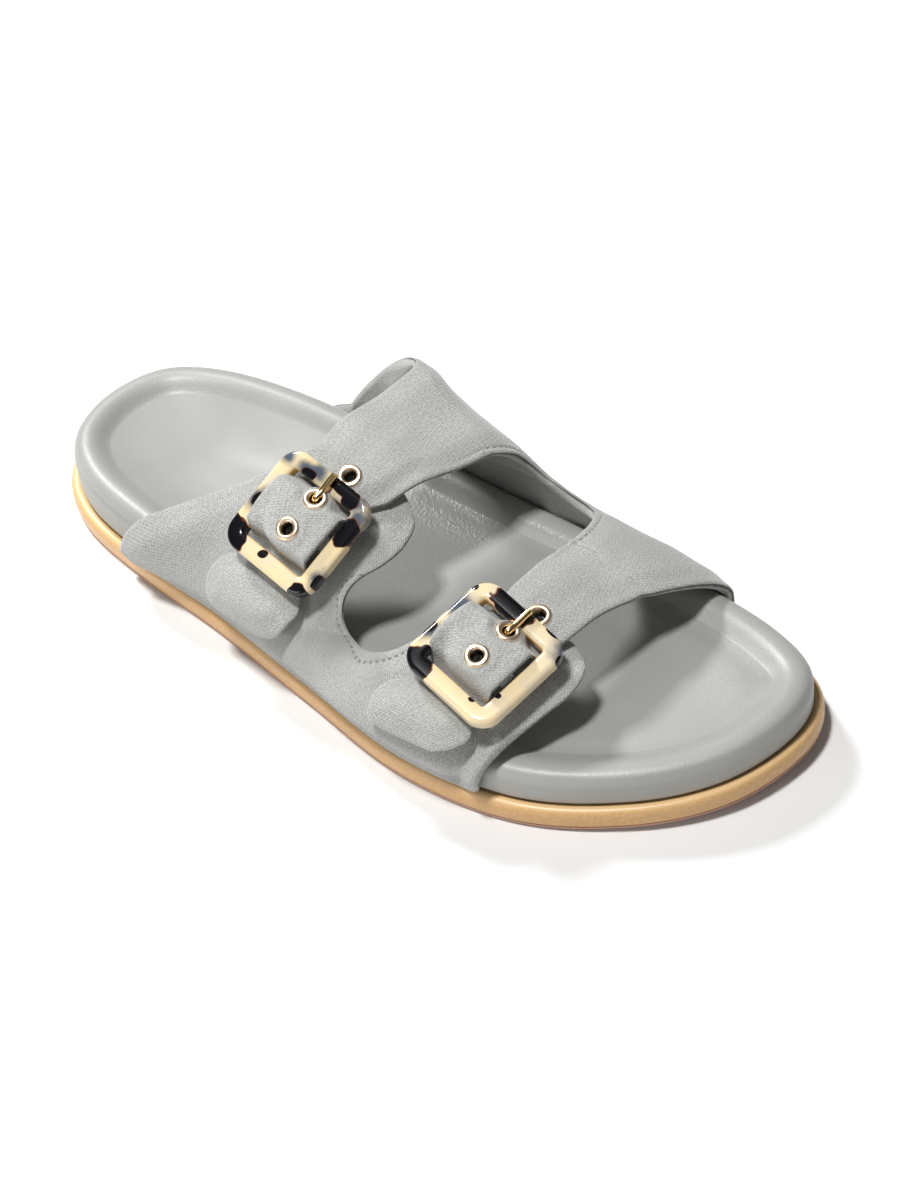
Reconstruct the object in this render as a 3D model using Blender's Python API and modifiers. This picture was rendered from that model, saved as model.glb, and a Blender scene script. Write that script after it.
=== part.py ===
"""Two-strap buckled footbed slide, right shoe, in metres, +Z up, toe at +X, inner side at +Y.

The outline of the sole and the arch of the upper are functions of the place along the shoe.
Both fabric panels are bands: rows that run round the cut-out, each from the cut-out edge to the outer edge.
"""

import bmesh
import bpy
import numpy as np
from mathutils import Matrix, Vector

MM = 0.001
NAME = "buckled_slide"

# Driving sizes of the shoe, in millimetres
LENGTH = 262.0
GAP = 0.3
OUTSOLE_THICK = 7.4
OUTSOLE_LEDGE = 3.0
SPRING_RISE = 3.0
SPRING_START = 0.78
RIM_HEEL = 22.6
RIM_TOE = 18.4
FABRIC = 4.2
FABRIC_HEM = 2.2
ROUND_STEPS = 72
MIDDLE_SIDE = -0.8
LENGTH_STEP = 50.0

# Section of the outsole's edge: (inset from the outline, height over the tread)
OUTSOLE_PROFILE = [
    (1.2, 0.0),
    (0.2, 0.9),
    (0.0, 1.8),
    (0.0, OUTSOLE_THICK - 1.0),
    (0.8, OUTSOLE_THICK),
]

# Section of the footbed's rim: (inset from its wall, share of the rim's height)
RIM_PROFILE = [
    (0.6, 0.0),
    (0.0, 0.25),
    (0.0, 0.62),
    (0.9, 0.86),
    (2.6, 0.97),
    (5.2, 1.0),
    (8.2, 0.93),
    (11.5, 0.76),
]

# Middle line of the footbed's floor: (place along the shoe, height): cupped heel, raised arch, level ball
FLOOR_LINE = [
    (0.0, 14.5),
    (45.0, 12.6),
    (105.0, 16.0),
    (150.0, 16.2),
    (190.0, 14.6),
    (262.0, 15.2),
]
FLOOR_SHARES = (0.86, 0.6, 0.3, 0.0)
FLOOR_EDGE = 0.55
SPINE_SHARE = 0.62

# Outline of the outsole: (breadth to the inner side, breadth to the outer side)
# at eleven stations from heel to toe, spaced as the cosine of equal turns
OUTLINE = [
    (0.0, 0.0),
    (21.7, -21.2),
    (34.5, -33.7),
    (41.4, -39.0),
    (44.6, -41.8),
    (46.3, -46.9),
    (49.2, -51.4),
    (51.3, -45.5),
    (48.1, -27.9),
    (38.8, -5.7),
    (20.4, 20.4),
]

# Crown of the upper's arch: height and breadth at the middle station, and their change per length step
ARCH_MIDDLE = 150.0
CROWN_HEIGHT = 45.0
CROWN_HEIGHT_STEP = -15.0
CROWN_SIDE = 28.6
CROWN_SIDE_STEP = -6.6
CROWN_LEAST = 34.0
CROWN_LEAST_STEP = -6.0
CROWN_LEAST_PLACE = 0.7
CROWN_BLEND = 1.6
SHOULDER_OUTER = 1.68
SHOULDER_INNER = 1.77
SHOULDER_INNER_STEP = -0.30
WALL_TOP = 16.0
WALL_SHARE = 0.2

# Rows of the inner side's panel, from the rear strap's tip round the cut-out to the front strap's tip.
# Columns: outer edge (along, girth), cut-out edge (along, girth), lift of the outer edge
MEDIAL_ROWS = [
    (101, -0.735, 118, -0.725, 0.0),
    (95, -0.700, 125, -0.690, 0.0),
    (94, -0.640, 128, -0.630, 0.0),
    (98, -0.575, 129, -0.565, 0.0),
    (105, -0.510, 128.2, -0.500, 0.0),
    (105.6, -0.440, 128.2, -0.435, 0.0),
    (105.4, -0.370, 128.4, -0.365, 0.0),
    (104, -0.300, 131, -0.295, 0.0),
    (104, -0.220, 134, -0.220, 0.0),
    (106, -0.110, 138.5, -0.120, 0.0),
    (107, 0.020, 142.5, 0.000, 0.5),
    (103, 0.190, 144.6, 0.130, 1.5),
    (95, 0.370, 145.4, 0.260, 2.5),
    (84, 0.560, 146.2, 0.350, 3.0),
    (72, 0.740, 148.5, 0.415, 3.0),
    (60, 0.900, 151.5, 0.450, 2.0),
    (60, 0.995, 154.5, 0.462, 0.5),
    (84, 1.000, 157.0, 0.468, 0.0),
    (112, 1.000, 159.0, 0.470, 0.0),
    (140, 1.000, 161.0, 0.468, 0.0),
    (168, 1.000, 163.0, 0.460, 0.0),
    (194, 1.000, 165.5, 0.445, 0.0),
    (213, 0.995, 168.5, 0.415, 0.0),
    (215, 0.900, 171.5, 0.365, 0.0),
    (213, 0.650, 174.2, 0.280, 0.0),
    (210.5, 0.400, 176.2, 0.170, 0.0),
    (207.5, 0.180, 177.2, 0.050, 0.0),
    (204.5, 0.000, 177.0, -0.070, 0.0),
    (202, -0.120, 176.2, -0.170, 0.0),
    (200, -0.220, 175.4, -0.250, 0.0),
    (198.4, -0.310, 175.6, -0.320, 0.0),
    (198.3, -0.380, 175.7, -0.385, 0.0),
    (198.3, -0.450, 175.6, -0.455, 0.0),
    (198, -0.520, 170, -0.520, 0.0),
    (196, -0.590, 165, -0.590, 0.0),
    (195, -0.650, 164, -0.660, 0.0),
    (191, -0.695, 167, -0.705, 0.0),
    (184, -0.725, 172, -0.735, 0.0),
]

# Rows of the outer side's panel, from the rear wing's end round the cut-out to the front wing's end
LATERAL_ROWS = [
    (112, -0.235, 130, -0.225, 0.0),
    (106, -0.270, 139.5, -0.255, 0.0),
    (100, -0.300, 142, -0.310, 0.0),
    (94, -0.380, 140.5, -0.370, 0.0),
    (87, -0.455, 137, -0.430, 0.5),
    (79, -0.520, 136, -0.470, 1.0),
    (70, -0.590, 136.8, -0.505, 2.0),
    (59, -0.680, 138.8, -0.530, 3.5),
    (53.5, -0.790, 141, -0.545, 4.5),
    (52.5, -0.930, 143, -0.553, 3.0),
    (58, -1.000, 145, -0.557, 1.0),
    (84, -1.000, 147, -0.559, 0.0),
    (110, -1.000, 148.8, -0.559, 0.0),
    (136, -1.000, 150.5, -0.557, 0.0),
    (162, -1.000, 152.5, -0.551, 0.0),
    (184, -1.000, 154.8, -0.538, 0.0),
    (197, -0.990, 157, -0.520, 0.0),
    (199, -0.880, 159.2, -0.495, 0.0),
    (201, -0.730, 161.5, -0.460, 0.0),
    (203.5, -0.580, 164, -0.415, 0.0),
    (206.5, -0.450, 166.5, -0.360, 0.0),
    (209, -0.350, 169.5, -0.295, 0.0),
    (207, -0.270, 173.5, -0.240, 0.0),
    (200, -0.235, 181, -0.220, 0.0),
]
BAND_STEPS_PER_ROW = 2
BAND_ACROSS = 8

# Buckles: place of the frame's centre along the shoe and on the girth, and the straps' way through them
BUCKLES = {
    "rear": {"along": 115.6, "girth": -0.430, "turn": -8.0},
    "front": {"along": 184.8, "girth": -0.400, "turn": -9.0},
}
FRAME_SIDE = 34.8
FRAME_BAR = 5.6
FRAME_THICK = 4.0
FRAME_CORNER = 7.0
WINDOW_CORNER = 1.8
FRAME_EDGE = 0.9
CORNER_STEPS = 5
FRAME_LIFT = 11.1
CENTRE_BAR = 2.4
CENTRE_BAR_DROP = 0.6
CENTRE_BAR_BITE = 2.0
EYE_WALL = 0.9
LOOP_WIDTH = 6.0
LOOP_PLACE = 5.2
LOOP_CLEAR = 0.7
STRAP_ON_WING = 4.5
STRAP_HUMP = 8.8
HUMP_TOP = 3.0
HUMP_MARGIN = 0.6
GATHER_FULL = 1.0
GATHER_END = 5.0
WING_REACH = 30.0
STRAP_RAMP = 20.0
STRAP_PLAY = 1.3
PRONG = 2.2
PRONG_TIP = 17.4
PRONG_START = (1.5, -0.9)
PRONG_IN_EYELET = (-6.0, -3.5, -1.0, 0.9)
PRONG_ON_FRAME = (11.5, 14.3, PRONG_TIP)

# Eyelets: (place across the frame, place along it) from the frame's centre
EYELET_PLACES = {
    "outer": (21.4, 1.4),
    "prong": (8.4, 0.0),
    "inner": (-4.6, 0.0),
}
EYELET_OUTER = 3.7
EYELET_HOLE = 1.9
EYELET_WALL = 0.35
EYELET_FLANGE = 0.8
EYELET_SEAT = 1.0
EYELET_STEPS = 14
CUTTER_EXTRA = 6.0

COLOURS = {
    "fabric": ((0.42, 0.42, 0.405), 0.9, 0.0),
    "leather": ((0.50, 0.50, 0.475), 0.45, 0.0),
    "outsole": ((0.80, 0.55, 0.30), 0.6, 0.0),
    "acetate": ((0.78, 0.66, 0.44), 0.15, 0.0),
    "gold": ((0.86, 0.66, 0.36), 0.2, 1.0),
}


def clear_scene():
    """Removes every object of the scene."""
    for item in list(bpy.data.objects):
        bpy.data.objects.remove(item, do_unlink=True)


def make_collection(name):
    """A collection of that name under the scene's own."""
    found = bpy.data.collections.get(name) or bpy.data.collections.new(name)
    if found.name not in bpy.context.scene.collection.children:
        bpy.context.scene.collection.children.link(found)
    return found


def make_material(name):
    """Principled material with the finish of one of the shoe's surfaces."""
    colour, roughness, metallic = COLOURS[name]
    material = bpy.data.materials.new(name)
    material.use_nodes = True
    shader = material.node_tree.nodes["Principled BSDF"]
    shader.inputs["Base Color"].default_value = (*colour, 1.0)
    shader.inputs["Roughness"].default_value = roughness
    shader.inputs["Metallic"].default_value = metallic
    material.diffuse_color = (*colour, 1.0)
    return material


def catmull(values, place, closed=False):
    """Smooth curve through the values' rows at fractional row numbers."""
    values = np.asarray(values, float)
    count = len(values)
    place = np.asarray(place, float)
    base = np.floor(place).astype(int)
    if not closed:
        base = np.clip(base, 0, count - 2)
    part = (place - base).reshape(place.shape + (1,) * (values.ndim - 1))
    picks = [base + step for step in (-1, 0, 1, 2)]
    wrap = (lambda i: i % count) if closed else (lambda i: np.clip(i, 0, count - 1))
    before, start, end, after = (values[wrap(i)] for i in picks)
    return 0.5 * (2 * start + (end - before) * part
                  + (2 * before - 5 * start + 4 * end - after) * part ** 2
                  + (3 * start - before - 3 * end + after) * part ** 3)


def outline_breadth(turn):
    """Breadth of the outsole at a turn round its outline: 0 at the heel, pi at the toe, inner side first."""
    inner = [row[0] for row in OUTLINE]
    outer = [row[1] for row in OUTLINE[-2:0:-1]]
    place = np.asarray(turn, float) / (2 * np.pi) * len(inner + outer)
    return catmull(inner + outer, place, closed=True)


def outline_points(turn, inset):
    """Outline of the outsole moved inwards by the inset, at turns from heel over the inner side and back."""
    along = 0.5 * LENGTH * (1 - np.cos(turn))
    step = 0.02
    ahead = np.stack([-np.cos(turn + step), outline_breadth(turn + step) / (0.5 * LENGTH)], -1)
    behind = np.stack([-np.cos(turn - step), outline_breadth(turn - step) / (0.5 * LENGTH)], -1)
    tangent = (ahead - behind) / np.linalg.norm(ahead - behind, axis=-1, keepdims=True)
    inwards = np.stack([tangent[..., 1], -tangent[..., 0]], -1)
    return np.stack([along, outline_breadth(turn)], -1) + inwards * np.asarray(inset)[..., None]


def side_breadth(along, side):
    """Breadth of the outsole's edge at a place along the shoe: side 1 is the inner, -1 the outer side."""
    turn = np.arccos(np.clip(1 - 2 * np.asarray(along, float) / LENGTH, -1, 1))
    return outline_breadth(np.where(np.asarray(side) > 0, turn, 2 * np.pi - turn))


def spring(along):
    """Rise of the sole towards the toe: flat up to the spring's start, then a parabola."""
    share = np.clip((np.asarray(along) / LENGTH - SPRING_START) / (1 - SPRING_START), 0, 1)
    return SPRING_RISE * share ** 2


def smooth(low, high, value):
    """Smooth step from 0 at low to 1 at high."""
    share = np.clip((np.asarray(value, float) - low) / (high - low), 0, 1)
    return share * share * (3 - 2 * share)


def soft_larger(first, second, blend):
    """The larger of two values, with a round turn of that size where they cross."""
    return 0.5 * (first + second + np.sqrt((first - second) ** 2 + blend ** 2))


def arch_point(along, girth):
    """Inner face of the upper: girth runs from -1 at the outer side's base over 0, the crown, to 1.

    Each side is a short upright wall and then a quarter of a superellipse up to the crown.
    """
    along, girth = np.broadcast_arrays(np.asarray(along, float), np.asarray(girth, float))
    steps = (along - ARCH_MIDDLE) / LENGTH_STEP
    crown_z = soft_larger(CROWN_HEIGHT + CROWN_HEIGHT_STEP * steps,
                          CROWN_LEAST + CROWN_LEAST_STEP * (steps - CROWN_LEAST_PLACE), CROWN_BLEND)
    crown_y = CROWN_SIDE + CROWN_SIDE_STEP * steps
    inner = girth >= 0
    foot = np.where(inner, side_breadth(along, 1) - OUTSOLE_LEDGE + GAP,
                    side_breadth(along, -1) + OUTSOLE_LEDGE - GAP)
    power = np.where(inner, SHOULDER_INNER + SHOULDER_INNER_STEP * steps, SHOULDER_OUTER)
    rise = 1 - np.abs(girth)
    angle = np.clip((rise - WALL_SHARE) / (1 - WALL_SHARE), 0, 1) * np.pi / 2
    low = OUTSOLE_THICK + GAP
    y = crown_y + (foot - crown_y) * np.cos(angle) ** (2 / power)
    z = np.where(rise < WALL_SHARE, low + (WALL_TOP - low) * rise / WALL_SHARE,
                 WALL_TOP + (crown_z - WALL_TOP) * np.sin(angle) ** (2 / power))
    return np.stack([along, y, z + spring(along)], -1)


def arch_normal(along, girth):
    """Outward direction of the upper's arch."""
    step = 0.02
    along, girth = np.broadcast_arrays(np.asarray(along, float), np.asarray(girth, float))
    lengthwise = arch_point(along + 0.5, girth) - arch_point(along - 0.5, girth)
    around = (arch_point(along, np.clip(girth + step, -0.999, 0.999))
              - arch_point(along, np.clip(girth - step, -0.999, 0.999)))
    normal = np.cross(lengthwise, around)
    return normal / np.linalg.norm(normal, axis=-1, keepdims=True)


def to_world(points):
    """Millimetres from the heel to metres from the middle of the shoe."""
    return (np.asarray(points, float) - np.array([0.5 * LENGTH, MIDDLE_SIDE, 0.0])) * MM


def buckle_axes(name):
    """Centre and axes (along the shoe, across to the inner side, outwards) of a buckle's frame."""
    buckle = BUCKLES[name]
    normal = arch_normal(buckle["along"], buckle["girth"])
    foot = arch_point(buckle["along"], buckle["girth"])
    across = (arch_point(buckle["along"], buckle["girth"] + 0.05)
              - arch_point(buckle["along"], buckle["girth"] - 0.05))
    across -= normal * (across @ normal)
    across /= np.linalg.norm(across)
    along = np.cross(across, normal)
    turn = np.radians(buckle["turn"])
    turned_along = along * np.cos(turn) + across * np.sin(turn)
    turned_across = across * np.cos(turn) - along * np.sin(turn)
    return foot + normal * FRAME_LIFT, turned_along, turned_across, normal


def strap_lift(foot, normal, name):
    """Height of the strap's inner face above the arch: on the foot, up over the wing, humped in the frame.

    The place across the frame is measured at the frame's own height over the arch.
    """
    centre, _, across, _ = buckle_axes(name)
    place = (foot + normal * FRAME_LIFT - centre) @ across
    window = 0.5 * FRAME_SIDE - FRAME_BAR
    on_wing = STRAP_ON_WING * (1 - smooth(WING_REACH, WING_REACH + STRAP_RAMP, place))
    return on_wing + STRAP_HUMP * (1 - smooth(HUMP_TOP, window - HUMP_MARGIN, np.abs(place)))


def gather(columns, name, outer_side):
    """Draws both edges of a strap in to the window of its buckle, where the frame covers it."""
    centre, along_axis, across_axis, _ = buckle_axes(name)
    window = 0.5 * FRAME_SIDE - FRAME_BAR
    for first, side in ((0, outer_side), (2, -outer_side)):
        foot = arch_point(columns[:, first], columns[:, first + 1])
        lifted = foot + arch_normal(columns[:, first], columns[:, first + 1]) * FRAME_LIFT - centre
        near = np.abs(lifted @ along_axis) < FRAME_SIDE
        reach = np.abs(lifted @ across_axis)
        weight = near * (1 - smooth(window + GATHER_FULL, 0.5 * FRAME_SIDE + GATHER_END, reach))
        columns[:, first] += weight * (side * (window - STRAP_PLAY) - lifted @ along_axis) / along_axis[0]
    return columns


def band_points(rows, across, over_wings, side):
    """Grid of a panel: rows along the band, then the places across it, on one face of the fabric.

    across holds shares from the cut-out edge to the outer edge, and side is 1 for the outer face of
    the fabric and -1 for its inner face. The edge is rolled: its half thickness is a quarter circle there.
    """
    steps = np.linspace(0, len(rows) - 1, (len(rows) - 1) * BAND_STEPS_PER_ROW + 1)
    columns = catmull(rows, steps)
    if over_wings:
        columns = gather(gather(columns, "rear", -1), "front", 1)
    share = np.asarray(across)[None, :]
    along = columns[:, 2:3] + (columns[:, 0:1] - columns[:, 2:3]) * share
    girth = np.clip(columns[:, 3:4] + (columns[:, 1:2] - columns[:, 3:4]) * share, -1, 1)
    foot = arch_point(along, girth)
    normal = arch_normal(along, girth)
    width = np.linalg.norm(foot[:, -1] - foot[:, 0], axis=-1)[:, None]
    run = np.cumsum(np.r_[0, np.linalg.norm(np.diff(foot[:, len(across) // 2], axis=0), axis=-1)])[:, None]
    hem = smooth(1.0, 1 - WALL_SHARE, np.abs(girth))
    thick = FABRIC_HEM + (FABRIC - FABRIC_HEM) * hem
    radius = 0.5 * FABRIC
    nearest = np.minimum(np.minimum(share, 1 - share) * width, np.minimum(run, run[-1] - run))
    roll = np.sqrt(np.clip(1 - (1 - np.clip(nearest / radius, 0, 1)) ** 2, 0, 1))
    middle = 0.5 * thick + columns[:, 4:5] * smooth(0.6, 1.0, share)
    if over_wings:
        rear = steps[:, None] < 0.5 * len(rows)
        middle = middle + np.where(rear, strap_lift(foot, normal, "rear"), strap_lift(foot, normal, "front"))
    return foot + normal * (middle + side * 0.5 * thick * roll)[..., None]


def weld(mesh, reach):
    """Merges a mesh's doubles within a reach in millimetres and turns its faces outwards."""
    work = bmesh.new()
    work.from_mesh(mesh)
    bmesh.ops.remove_doubles(work, verts=work.verts, dist=reach * MM)
    bmesh.ops.dissolve_degenerate(work, edges=work.edges, dist=0.5 * reach * MM)
    bmesh.ops.triangulate(work, faces=work.faces)
    bmesh.ops.recalc_face_normals(work, faces=work.faces)
    work.to_mesh(mesh)
    work.free()


def add_mesh(name, vertices, faces, material, collection):
    """Closed mesh object from points in metres."""
    mesh = bpy.data.meshes.new(name)
    mesh.from_pydata([tuple(v) for v in vertices], [], faces)
    weld(mesh, 0.02)
    item = bpy.data.objects.new(name, mesh)
    collection.objects.link(item)
    finish(item, material, name)
    return item


def loft_faces(ring_count, ring_size):
    """Faces between closed rings of one size, and rows of faces that close the first and the last ring."""
    faces = []
    for ring in range(ring_count - 1):
        for k in range(ring_size):
            following = (k + 1) % ring_size
            faces.append((ring * ring_size + k, ring * ring_size + following,
                          (ring + 1) * ring_size + following, (ring + 1) * ring_size + k))
    for first in (0, (ring_count - 1) * ring_size):
        for k in range(ring_size // 2):
            mirrored = (ring_size - k) % ring_size
            faces.append((first + k, first + k + 1, first + ring_size - k - 1, first + mirrored))
    return faces


def make_outsole(material, collection):
    """Sole plate: flat tread up to the toe spring, an upright side with eased edges, and a flat ledge."""
    turn = 2 * np.pi * np.arange(ROUND_STEPS) / ROUND_STEPS
    vertices = []
    for inset, height in OUTSOLE_PROFILE:
        flat = outline_points(turn, np.full(turn.shape, inset))
        vertices.append(np.column_stack([flat, height + spring(flat[:, 0])]))
    return add_mesh("outsole", to_world(np.vstack(vertices)), loft_faces(len(OUTSOLE_PROFILE), ROUND_STEPS),
                    material, collection)


def footbed_floor(along):
    """Height of the footbed's middle line at places along the shoe."""
    places, heights = zip(*FLOOR_LINE)
    return np.interp(along, places, heights) + spring(along)


def footbed_rings(turn):
    """Rings of the footbed from its bottom over the round rim to the floor inside, in millimetres."""
    wall = outline_points(turn, np.full(turn.shape, OUTSOLE_LEDGE))
    share = wall[:, 0] / LENGTH
    rim = RIM_HEEL + (RIM_TOE - RIM_HEEL) * smooth(0.15, 0.75, share) + spring(wall[:, 0])
    bottom = OUTSOLE_THICK + GAP + spring(wall[:, 0])
    rings = []
    for inset, rise in RIM_PROFILE:
        flat = outline_points(turn, np.full(turn.shape, OUTSOLE_LEDGE + inset))
        rings.append(np.column_stack([flat, bottom + rise * (rim - bottom)]))
    edge = rings[-1]
    spine = 0.5 * LENGTH + (edge[:, 0] - 0.5 * LENGTH) * SPINE_SHARE
    spine = np.column_stack([spine, 0.5 * (side_breadth(spine, 1) + side_breadth(spine, -1))])
    for share in FLOOR_SHARES:
        flat = spine + (edge[:, :2] - spine) * share
        above = (edge[:, 2] - footbed_floor(edge[:, 0])) * smooth(FLOOR_EDGE, 1.0, share)
        rings.append(np.column_stack([flat, footbed_floor(flat[:, 0]) + above]))
    return rings


def make_footbed(material, collection):
    """Moulded footbed with its rounded rim and cupped heel."""
    turn = 2 * np.pi * np.arange(ROUND_STEPS) / ROUND_STEPS
    rings = footbed_rings(turn)
    return add_mesh("footbed", to_world(np.vstack(rings)), loft_faces(len(rings), ROUND_STEPS),
                    material, collection)


def make_panel(name, rows, over_wings, material, collection):
    """Fabric panel: a closed band of the fabric's thickness with rolled edges."""
    across = 0.5 - 0.5 * np.cos(np.pi * np.arange(BAND_ACROSS + 1) / BAND_ACROSS)
    outer = band_points(rows, across, over_wings, 1)
    inner = band_points(rows, across, over_wings, -1)
    loop = np.concatenate([outer, inner[:, -2:0:-1]], axis=1)
    row_count, ring_size = loop.shape[:2]
    faces = []
    for row in range(row_count - 1):
        for k in range(ring_size):
            following = (k + 1) % ring_size
            faces.append((row * ring_size + k, row * ring_size + following,
                          (row + 1) * ring_size + following, (row + 1) * ring_size + k))
    return add_mesh(name, to_world(loop.reshape(-1, 3)), faces, material, collection)


def buckle_matrix(name):
    """Placing of a buckle: X along the shoe, Y across to the inner side, Z outwards."""
    centre, along, across, normal = buckle_axes(name)
    turn = Matrix((Vector(along), Vector(across), Vector(normal))).transposed().to_4x4()
    return Matrix.Translation(Vector(to_world(centre))) @ turn


def rounded_spline(curve, side, radius):
    """Closed outline of a square with round corners, each a quarter circle."""
    turn = np.radians(np.arange(0, 90 + 90 / CORNER_STEPS, 90 / CORNER_STEPS))
    corner = 0.5 * side - radius + radius * np.stack([np.cos(turn), np.sin(turn)])
    points = []
    for quarter in range(4):
        points += list(corner.T)
        corner = np.stack([-corner[1], corner[0]])
    spline = curve.splines.new("POLY")
    spline.points.add(len(points) - 1)
    spline.use_cyclic_u = True
    for point, (x, y) in zip(spline.points, points):
        point.co = (x * MM, y * MM, 0, 1)


def curve_to_mesh(item, collection):
    """Mesh object in the place of a curve object, with its caps welded."""
    graph = bpy.context.evaluated_depsgraph_get()
    mesh = bpy.data.meshes.new_from_object(item.evaluated_get(graph))
    weld(mesh, 0.005)
    made = bpy.data.objects.new(item.name, mesh)
    made.matrix_world = item.matrix_world
    bpy.data.objects.remove(item, do_unlink=True)
    collection.objects.link(made)
    return made


def bake_modifiers(target):
    """Keeps the evaluated mesh as the object's own, welded, and drops its modifiers."""
    graph = bpy.context.evaluated_depsgraph_get()
    mesh = bpy.data.meshes.new_from_object(target.evaluated_get(graph))
    target.modifiers.clear()
    weld(mesh, 0.01)
    target.data = mesh


def combine(target, other, operation):
    """Joins another solid to the target, or cuts it out, by an exact Boolean that is applied at once."""
    modifier = target.modifiers.new(operation.lower(), "BOOLEAN")
    modifier.operation = operation
    modifier.solver = "EXACT"
    modifier.object = other
    bpy.context.view_layer.update()
    bake_modifiers(target)
    bpy.data.objects.remove(other, do_unlink=True)


def finish(item, material, name):
    """Name, one material, and smooth shading with sharp edges."""
    item.name = name
    item.data.name = name
    item.data.materials.clear()
    item.data.materials.append(material)
    item.data.shade_smooth()
    item.data.set_sharp_from_angle(angle=0.7)


def add_bar(name, radius, length, height, vertices):
    """Round bar along X at a height over the frame's middle plane."""
    bpy.ops.mesh.primitive_cylinder_add(vertices=vertices, radius=radius * MM, depth=length * MM,
                                        location=(0, 0, height * MM), rotation=(0, 0.5 * np.pi, 0))
    bar = bpy.context.object
    bar.name = name
    return bar


def make_frame(name, material, collection):
    """Square frame with round corners and eased edges, and the round centre bar that joins its sides."""
    title = "buckle_frame_" + name
    curve = bpy.data.curves.new(title, "CURVE")
    curve.dimensions = "2D"
    curve.fill_mode = "BOTH"
    curve.extrude = (0.5 * FRAME_THICK - FRAME_EDGE) * MM
    curve.bevel_depth = FRAME_EDGE * MM
    curve.bevel_resolution = 1
    window = FRAME_SIDE - 2 * FRAME_BAR
    eased = 2 * FRAME_EDGE
    rounded_spline(curve, FRAME_SIDE - eased, FRAME_CORNER - FRAME_EDGE)
    rounded_spline(curve, window + eased, WINDOW_CORNER + FRAME_EDGE)
    outline = bpy.data.objects.new(title, curve)
    collection.objects.link(outline)
    bpy.context.view_layer.update()
    item = curve_to_mesh(outline, collection)
    combine(item, add_bar("bar_" + name, 0.5 * CENTRE_BAR, window + 2 * CENTRE_BAR_BITE,
                          -CENTRE_BAR_DROP, 16), "UNION")
    item.matrix_world = buckle_matrix(name)
    finish(item, material, title)


def make_bar_loop(name, side, material, collection):
    """Fabric loop round the centre bar, beside the prong, down to the wing under it."""
    title = "bar_loop_" + name + ("_toe" if side > 0 else "_heel")
    foot = FABRIC + LOOP_CLEAR - FRAME_LIFT
    radius = 0.5 * CENTRE_BAR + GAP + EYE_WALL
    height = -CENTRE_BAR_DROP - foot
    bpy.ops.mesh.primitive_cube_add(size=1.0, location=(0, 0, (foot + 0.5 * height) * MM))
    item = bpy.context.object
    item.scale = (LOOP_WIDTH * MM, 2 * radius * MM, height * MM)
    bpy.ops.object.transform_apply(location=True, rotation=False, scale=True)
    combine(item, add_bar("loop_top", radius, LOOP_WIDTH, -CENTRE_BAR_DROP, 14), "UNION")
    hole = add_bar("loop_hole", 0.5 * CENTRE_BAR + GAP, LOOP_WIDTH + 2.0, -CENTRE_BAR_DROP, 14)
    combine(item, hole, "DIFFERENCE")
    item.matrix_world = buckle_matrix(name) @ Matrix.Translation((side * LOOP_PLACE * MM, 0, 0))
    for owner in list(item.users_collection):
        owner.objects.unlink(item)
    collection.objects.link(item)
    finish(item, material, title)


def strap_place(name, reach, sideways):
    """Point on the strap's outer face, a reach across and a way sideways from the buckle's centre."""
    centre, along_axis, across_axis, _ = buckle_axes(name)
    along, girth = BUCKLES[name]["along"], BUCKLES[name]["girth"]

    def lifted(along, girth):
        foot = arch_point(along, girth)
        normal = arch_normal(along, girth)
        return foot + normal * (FABRIC + strap_lift(foot, normal, name))

    for _ in range(20):
        offset = lifted(along, girth) - centre
        slope = (lifted(along, girth + 0.01) - lifted(along, girth - 0.01)) @ across_axis / 0.02
        along = along + 0.7 * (sideways - offset @ along_axis)
        girth = girth + 0.5 * (reach - offset @ across_axis) / slope
    return lifted(along, girth)


def eyelet_matrix(name, place):
    """Placing of an eyelet: Z along the strap's outward direction, the origin on its outer face."""
    reach, sideways = EYELET_PLACES[place]
    point = strap_place(name, reach, sideways)
    across = strap_place(name, reach + 1.0, sideways) - strap_place(name, reach - 1.0, sideways)
    along = strap_place(name, reach, sideways + 1.0) - strap_place(name, reach, sideways - 1.0)
    normal = np.cross(along, across)
    normal /= np.linalg.norm(normal)
    along -= normal * (along @ normal)
    along /= np.linalg.norm(along)
    turn = Matrix((Vector(along), Vector(np.cross(normal, along)), Vector(normal))).transposed().to_4x4()
    return Matrix.Translation(Vector(to_world(point))) @ turn


def prong_way(name):
    """Prong's way as (across, height): off the centre bar, straight up its eyelet, onto the frame."""
    eyelet = buckle_matrix(name).inverted() @ eyelet_matrix(name, "prong")
    hole = np.array(eyelet.translation)[1:] / MM
    axis = np.array(eyelet.col[2])[1:3]
    top = 0.5 * FRAME_THICK + GAP + 0.5 * PRONG
    through = [hole + axis * reach for reach in PRONG_IN_EYELET]
    return [PRONG_START] + through + [(reach, top) for reach in PRONG_ON_FRAME]


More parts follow.
